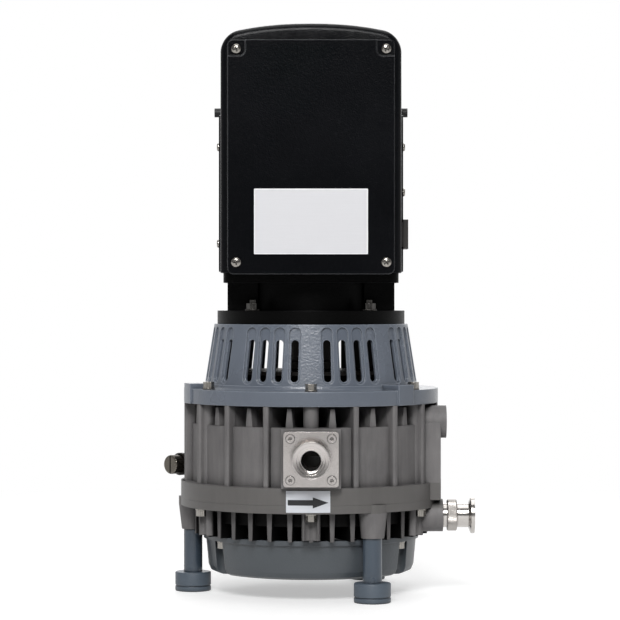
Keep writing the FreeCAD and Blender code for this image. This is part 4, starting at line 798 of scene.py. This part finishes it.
# feet with a groove over the sole and a screw hole below
footLook = {
    "radius": 0.015,
    "height": 0.016,
    "edge": 0.0011,
    "sole": 0.004,
    "groove": 0.001,
    "hole": 0.0025,
    "holeDepth": 0.009,
    "steps": 72,
}


def roundedCorner(radius, length, edge, start, end, steps=4):
    # points of an arc between two angles, in degrees, about the centre (radius, length)
    turns = [math.radians(start + (end - start) * k / steps) for k in range(steps + 1)]
    return [(radius + edge * math.cos(turn), length + edge * math.sin(turn)) for turn in turns]


def footShape(look, spot):
    radius, height, edge = look["radius"], look["height"], look["edge"]
    sole, groove = look["sole"], look["groove"]
    profile = [(0, look["holeDepth"]), (look["hole"], look["holeDepth"]), (look["hole"], 0)]
    profile += roundedCorner(radius - edge, edge, edge, -90, 0)
    lip = groove / 4
    profile += [(radius, sole - lip), (radius - lip, sole), (radius - groove, sole),
                (radius - groove, sole + groove), (radius - lip, sole + groove),
                (radius, sole + groove + lip)]
    profile += roundedCorner(radius - edge, height - edge, edge, 0, 90)
    profile.append((0, height))
    return spun(profile, spot, (0, 0, 1), look["steps"])


for side in ("rear", "left", "front"):
    low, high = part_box("foot_" + side)
    spot = ((low.x + high.x) / 2, (low.y + high.y) / 2, 0)
    pad = finished("footPad." + side, footShape(footLook, spot), footEnamel,
                   "pump_body")
    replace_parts(softShaded(pad), "foot_" + side)
print("feet made")


# knurled nut on the exhaust
nutLook = {
    "radius": 0.0128,
    "bore": 0.0101,
    "width": 0.008,
    "edge": 0.0007,
    "teeth": 84,
    "toothDepth": 0.00028,
}


def nutShape(look, middle):
    half, edge, radius = look["width"] / 2, look["edge"], look["radius"]
    profile = [(look["bore"], -half), (radius - edge, -half), (radius, edge - half),
               (radius, half - edge), (radius - edge, half), (look["bore"], half),
               (look["bore"], -half)]
    steps = look["teeth"] * 2
    shape = spun(profile, (0, 0, 0), (0, 0, 1), steps)
    pitch = 2 * math.pi / steps
    for v in shape.verts:
        reach = math.hypot(v.co.x, v.co.y)
        tooth = round(math.atan2(v.co.y, v.co.x) / pitch) % 2
        if reach > radius - edge / 2 and tooth:
            v.co.xy *= (radius - look["toothDepth"]) / radius
    turn = Matrix.Rotation(math.radians(90), 4, "Y")
    bmesh.ops.transform(shape, matrix=Matrix.Translation(middle) @ turn, verts=shape.verts)
    return shape


nut = finished("exhaustNut", nutShape(nutLook, nutMiddle), metalFinish("nutStainless", nutSteel),
               "pump_body")
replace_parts(nut, "exhaust_nut")
print("exhaust nut made")


# housing with an eased crown, and the fittings on its sides
housing = {
    "half": 0.075,  # half its width before
    "newHalf": 0.0734,  # and after
    "crownLow": 0.43,
    "crownBlend": 0.025,
    "drop": 0.0038,
    "cornerDrop": 0.0042,
    "corner": 0.068,
    "bow": 2.5,
    "knobEnd": 0.081,
    "knobHeight": 0.401,
    "knobShare": 0.82,
    "cut": 0.006,
    "cuts": 11,
}


def easedCrown(place):
    # the walls come in and the crown comes down, most at its corners
    place.x *= housing["newHalf"] / housing["half"]
    share = min(max((place.z - housing["crownLow"]) / housing["crownBlend"], 0), 1)
    outwards = (abs(place.x) / housing["corner"]) ** housing["bow"]
    place.z -= share * (housing["drop"] + housing["cornerDrop"] * outwards)


def shiftedIn(place):
    place.x -= math.copysign(housing["half"] - housing["newHalf"], place.x)


def slimKnob(place):
    # the knob's end stays, its foot follows the wall
    end = housing["knobEnd"]
    inwards = (end - abs(place.x)) / (end - housing["half"])
    place.x = math.copysign(end - inwards * (end - housing["newHalf"]), place.x)
    place.y *= housing["knobShare"]
    place.z = housing["knobHeight"] + (place.z - housing["knobHeight"]) * housing["knobShare"]


crownCuts = [((housing["cut"] * k, 0, 0), (1, 0, 0))
             for k in range(-housing["cuts"], housing["cuts"] + 1)]
redrawn("housing", "enclosure", blackSatin, easedCrown, crownCuts)
redrawn("sidePanelLeft", "side_panel_left", blackSatin, shiftedIn)
redrawn("sidePanelRight", "side_panel_right", blackSatin, shiftedIn)
redrawn("panelScrews", "panel_screws", zincSteel, shiftedIn)
redrawn("sideKnobs", "side_knobs", blackPlastic, slimKnob)
redrawn("mainsInlet", "power_socket", mouldedFinish("socketPlastic", socketPlastic),
        shiftedIn)
print("housing made")


# front cover with two corner pockets
coverLook = {
    "half": 0.0677,
    "low": 0.2646,
    "high": 0.4544,
    "back": -0.08,
    "thickness": 0.006,
    "corner": 0.0045,
    "lowCorner": 0.0055,
    "pocketWide": 0.0146,
    "pocketTall": 0.0134,
    "pocketDepth": 0.0026,
    "pocketCorner": 0.0049,
    "over": 0.008,  # of the cutter past the cover's edges
    "edge": 0.0008,
}
coverMiddle = (coverLook["high"] + coverLook["low"]) / 2


def pocketShape(look, side):
    over, seat = look["over"], look["thickness"] - look["pocketDepth"]
    wide, tall = look["pocketWide"] + over, look["pocketTall"] + over
    x, z = side * (look["half"] + over - wide / 2), look["high"] + over - tall / 2
    return cornered(wide, tall, look["pocketDepth"] + over, look["pocketCorner"],
                    look["back"] - seat, x, z)


def coverShape(look):
    slab = cornered(2 * look["half"], look["high"] - look["low"], look["thickness"],
                    look["corner"], look["back"], 0, coverMiddle, look["lowCorner"])
    pockets = [pocketShape(look, side) for side in (-1, 1)]
    return gathered(carved(slab, pockets), [Matrix.Identity(4)])


cover = finished("frontCover", coverShape(coverLook), coverSatin, "pump_body")
brokenEdges(softShaded(cover), coverLook["edge"])
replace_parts(cover, "front_cover")
print("front cover made")


# pan head screws of the cover, with a crossed recess
screwLook = {
    "radius": 0.0041,
    "height": 0.0026,
    "brim": 0.0009,
    "armHalf": 0.0005,
    "armReach": 0.0024,
    "armDepth": 0.0015,
    "shank": 0.0019,
    "shankLength": 0.004,
    "domeSteps": 6,
    "steps": 40,
    "places": [(-0.0604, 0.4467), (0.0608, 0.4467), (-0.0604, 0.2744), (0.0608, 0.2744)],
    "turns": (20, 65, 5, 40),
}


def panHead(look):
    radius, height, brim = look["radius"], look["height"], look["brim"]
    shank, end = look["shank"], -look["shankLength"]
    profile = [(0, end), (shank, end), (shank, 0), (radius, 0)]
    for k in range(look["domeSteps"]):
        rise = math.radians(90 * k / look["domeSteps"])
        profile.append((radius * math.cos(rise), brim + (height - brim) * math.sin(rise)))
    profile.append((0, height))
    head = spun(profile, (0, 0, 0), (0, 0, 1), look["steps"])
    arms = []
    for wide, deep in ((look["armReach"], look["armHalf"]), (look["armHalf"], look["armReach"])):
        arm = bmesh.new()
        bmesh.ops.create_cube(arm, size=2)
        bmesh.ops.scale(arm, vec=(wide, deep, look["armDepth"]), verts=arm.verts)
        bmesh.ops.translate(arm, vec=(0, 0, height), verts=arm.verts)
        arms.append(arm)
    return carved(head, arms)


def coverScrewPlaces(look):
    # the upper two sit in the pockets, and each is turned as it was driven home
    places = []
    for (x, z), angle in zip(look["places"], look["turns"]):
        seat = coverLook["thickness"]
        if z > coverMiddle:
            seat -= coverLook["pocketDepth"]
        turn = Matrix.Rotation(math.radians(angle), 4, "Z")
        places.append(Matrix.Translation((x, coverLook["back"] - seat, z)) @ facing @ turn)
    return places


screws = finished("coverScrews", gathered(panHead(screwLook), coverScrewPlaces(screwLook)),
                  zincSteel, "pump_body")
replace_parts(softShaded(screws), "cover_screws")


# studs of the motor flange, whose upper ends come down
studs = {"above": 0.2465, "shorter": 0.004}


def shorterStud(place):
    if place.z > studs["above"]:
        place.z -= studs["shorter"]


redrawn("motorStuds", "motor_fasteners", metalFinish("studSteel", studSteel),
        shorterStud)
print("screws and studs made")


# inlet plate with a dished sealing face, turned in steps of (radius, depth) from rim to bore
inletLook = {
    "seat": 0.0086,
    "near": 0.0002,
    "dish": 0.0018,
    "rings": [(0.0148, 0.00004), (0.01405, 0.00004), (0.0139, 0.00028), (0.0115, 0.00052),
              (0.0113, 0.001), (0.00965, 0.00118), (0.0095, 0.0015), (0.00868, 0.00172),
              (0.00868, 0.0019), (0.0148, 0.0002), (0.0148, 0.00004)],
    "steps": 96,
}
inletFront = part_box("inlet_plate")[0].y


def dished(place):
    # the sealing face is drawn back towards the bore
    reach, near = math.hypot(place.x - inletMiddle.x, place.z - inletMiddle.z), inletLook["near"]
    if place.y < inletFront + near and abs(reach - inletLook["seat"]) < near:
        place.y += inletLook["dish"]


redrawn("inletPlate", "inlet_plate", inletStainless, dished)
inletMouth = Vector((inletMiddle.x, inletFront, inletMiddle.z))
rings = spun(inletLook["rings"], inletMouth, (0, 1, 0), inletLook["steps"])
softShaded(finished("inletRings", rings, inletStainless, "pump_body"))
print("inlet plate made")


# fine screen in the inlet
screen = {"radius": 0.0079, "depth": 0.009, "pitch": 0.0009, "wire": 0.00016}


def screenShape(look):
    count = int(2 * look["radius"] / look["pitch"])
    shape = sheet(count, count, look["radius"])
    outside = [v for v in shape.verts if v.co.length > look["radius"]]
    bmesh.ops.delete(shape, geom=outside, context="VERTS")
    bmesh.ops.wireframe(shape, faces=shape.faces, thickness=look["wire"], offset=0,
                        use_replace=True, use_boundary=True, use_even_offset=True)
    place = (0, inletFront + look["depth"], inletMiddle.z)
    bmesh.ops.translate(shape, vec=place, verts=shape.verts)
    return shape


finished("inletScreen", screenShape(screen), blackenedSteel, "pump_body")
print("inlet screen made")


# fillet at the bell's base, and the sleeve on the shaft and the curved air guide that its
# slots show
bellLook = {
    "roof": 0.22,
    "sleeveLow": 0.1855,
    "sleeveGap": 0.001,
    "sleeveBore": 0.0127,
    "sleeveRadius": 0.0185,
    "sleeveEdge": 0.0008,
    "sleeveSteps": 64,
    "collar": 0.0215,
    "collarHeight": 0.007,
    "guideLow": 0.18,
    "guideReach": 0.0736,
    "guideThickness": 0.0012,
    "guideStart": 24,
    "guideEnd": 69,
    "guideSteps": 28,
    "baseReach": 0.0895,
    "baseLow": 0.1705,
    "fillet": 0.0036,
    "filletRise": 1.2,  # how far the fillet goes up behind the cone, as a share of its radius
    "filletInset": 0.0015,
    "filletSink": 0.0003,
    "filletSteps": 128,
}


def sleeveShape(look):
    low, high, edge = look["sleeveLow"], look["roof"] - look["sleeveGap"], look["sleeveEdge"]
    bore, waist = look["sleeveBore"], look["sleeveRadius"]
    wide, tall = look["collar"], look["collarHeight"]
    profile = [(bore, low), (wide - edge, low), (wide, low + edge), (wide, low + tall),
               (waist, low + tall + edge), (waist, high - tall - edge), (wide, high - tall),
               (wide, high - edge), (wide - edge, high), (bore, high), (bore, low)]
    return spun(profile, (0, 0, 0), (0, 0, 1), look["sleeveSteps"])


def guideShape(look):
    # a strip of sheet under the roof of the bell
    shape = bmesh.new()
    start = math.radians(look["guideStart"])
    spots = []
    for height in (look["guideLow"], look["roof"]):
        place = (look["guideReach"] * math.cos(start), look["guideReach"] * math.sin(start), height)
        spots.append(shape.verts.new(place))
    edge = shape.edges.new(spots)
    bmesh.ops.spin(shape, geom=spots + [edge], cent=(0, 0, 0), axis=(0, 0, 1),
                   angle=math.radians(look["guideEnd"] - look["guideStart"]),
                   steps=look["guideSteps"], use_duplicate=False)
    bmesh.ops.recalc_face_normals(shape, faces=shape.faces)
    bmesh.ops.solidify(shape, geom=list(shape.faces), thickness=look["guideThickness"])
    return shape


def filletShape(look):
    # the hollow between the cone and its flange
    reach, low, radius = look["baseReach"], look["baseLow"], look["fillet"]
    inner, under = reach - look["filletInset"], low - look["filletSink"]
    curve = roundedCorner(reach + radius, low + radius, radius, 180, 270, 6)
    profile = [(inner, low + radius * look["filletRise"])] + curve
    profile += [(reach + radius, under), (inner, under), profile[0]]
    return spun(profile, (0, 0, 0), (0, 0, 1), look["filletSteps"])


softShaded(finished("bellFillet", filletShape(bellLook), greyEnamel, "pump_body"))
softShaded(finished("shaftSleeve", sleeveShape(bellLook), blackenedSteel, "shaft"))
softShaded(finished("airGuide", guideShape(bellLook), blackPlastic, "pump_body"))
print("fillet, sleeve and air guide made")


def aimed(name, look):
    # an area lamp that faces the pump
    lamp = bpy.data.lights.new(name, "AREA")
    lamp.shape = "RECTANGLE"
    lamp.size, lamp.size_y = look["size"]
    lamp.energy = look["power"]
    holder = bpy.data.objects.new(name, lamp)
    bpy.context.scene.collection.objects.link(holder)
    holder.location = look["place"]
    holder.rotation_euler = (lampTarget - holder.location).to_track_quat("-Z", "Y").to_euler()


def studio():
    view = bpy.data.cameras.new("camera")
    view.lens, view.sensor_width = camera["lens"], camera["sensor"]
    view.shift_x, view.shift_y = camera["shiftX"], camera["shiftY"]
    view.clip_start, view.clip_end = camera["clip"]
    holder = bpy.data.objects.new("camera", view)
    bpy.context.scene.collection.objects.link(holder)
    holder.location = (0, -camera["distance"], camera["height"])
    holder.rotation_euler = (math.radians(90), 0, 0)
    bpy.context.scene.camera = holder
    for name, look in lamps.items():
        aimed(name + "Lamp", look)


def whiteWorld():
    # white where it is seen, softer where it only lights, and mirrored darker on the camera's side
    scenery = bpy.data.worlds.new("studioWorld")
    bpy.context.scene.world = scenery
    scenery.use_nodes = True
    web = Web(scenery.node_tree)
    way = web.node("ShaderNodeTexCoord", out="Generated")
    split = web.node("ShaderNodeSeparateXYZ", None, {0: way}, 1)
    mirrored = web.range(split, *world["towards"], *world["mirrored"])
    strength = world["light"] + web.seen("Is Glossy Ray") * (mirrored - world["light"])
    strength = strength.most(web.seen("Is Camera Ray", "Is Transmission Ray"))
    backdrop = scenery.node_tree.nodes["Background"]
    backdrop.inputs["Color"].default_value = (1, 1, 1, 1)
    web.feed(backdrop.inputs["Strength"], strength)


def floorFinish():
    # lit and shadowed near the object, plain white further off
    coat = Finish("floorWhite", Roughness=floor["roughness"])
    tree = coat.tree
    clean, mottled = [(tone, tone, tone, 1) for tone in floor["whites"]]
    coat.paint(Base_Color=coat.mix(coat.noise(3, 3, 0.5), clean, mottled))
    seen = coat.seen("Is Camera Ray", "Is Glossy Ray", "Is Transmission Ray")
    away = coat.range(coat.reach((0, 0, 0), (0, 0, 1)), floor["near"], floor["far"])
    glow, white = [tree.nodes.new("ShaderNodeEmission") for k in range(2)]
    coat.feed(glow.inputs["Strength"], seen * floor["glow"])
    both = tree.nodes.new("ShaderNodeAddShader")
    tree.links.new(coat.shader.outputs[0], both.inputs[0])
    tree.links.new(glow.outputs[0], both.inputs[1])
    blend = tree.nodes.new("ShaderNodeMixShader")
    coat.feed(blend.inputs[0], seen * away)
    tree.links.new(both.outputs[0], blend.inputs[1])
    tree.links.new(white.outputs[0], blend.inputs[2])
    tree.links.new(blend.outputs[0], tree.nodes["Material Output"].inputs["Surface"])
    return coat.material


def paleFloor():
    shape = bmesh.new()
    bmesh.ops.create_grid(shape, x_segments=8, y_segments=8, size=floor["reach"])
    mesh = bpy.data.meshes.new("floor")
    shape.to_mesh(mesh)
    shape.free()
    ground = bpy.data.objects.new("floor", mesh)
    bpy.context.scene.collection.objects.link(ground)
    mesh.materials.append(floorFinish())


studio()
whiteWorld()
paleFloor()
bpy.context.scene.view_settings.view_transform = "Standard"
print("studio set")
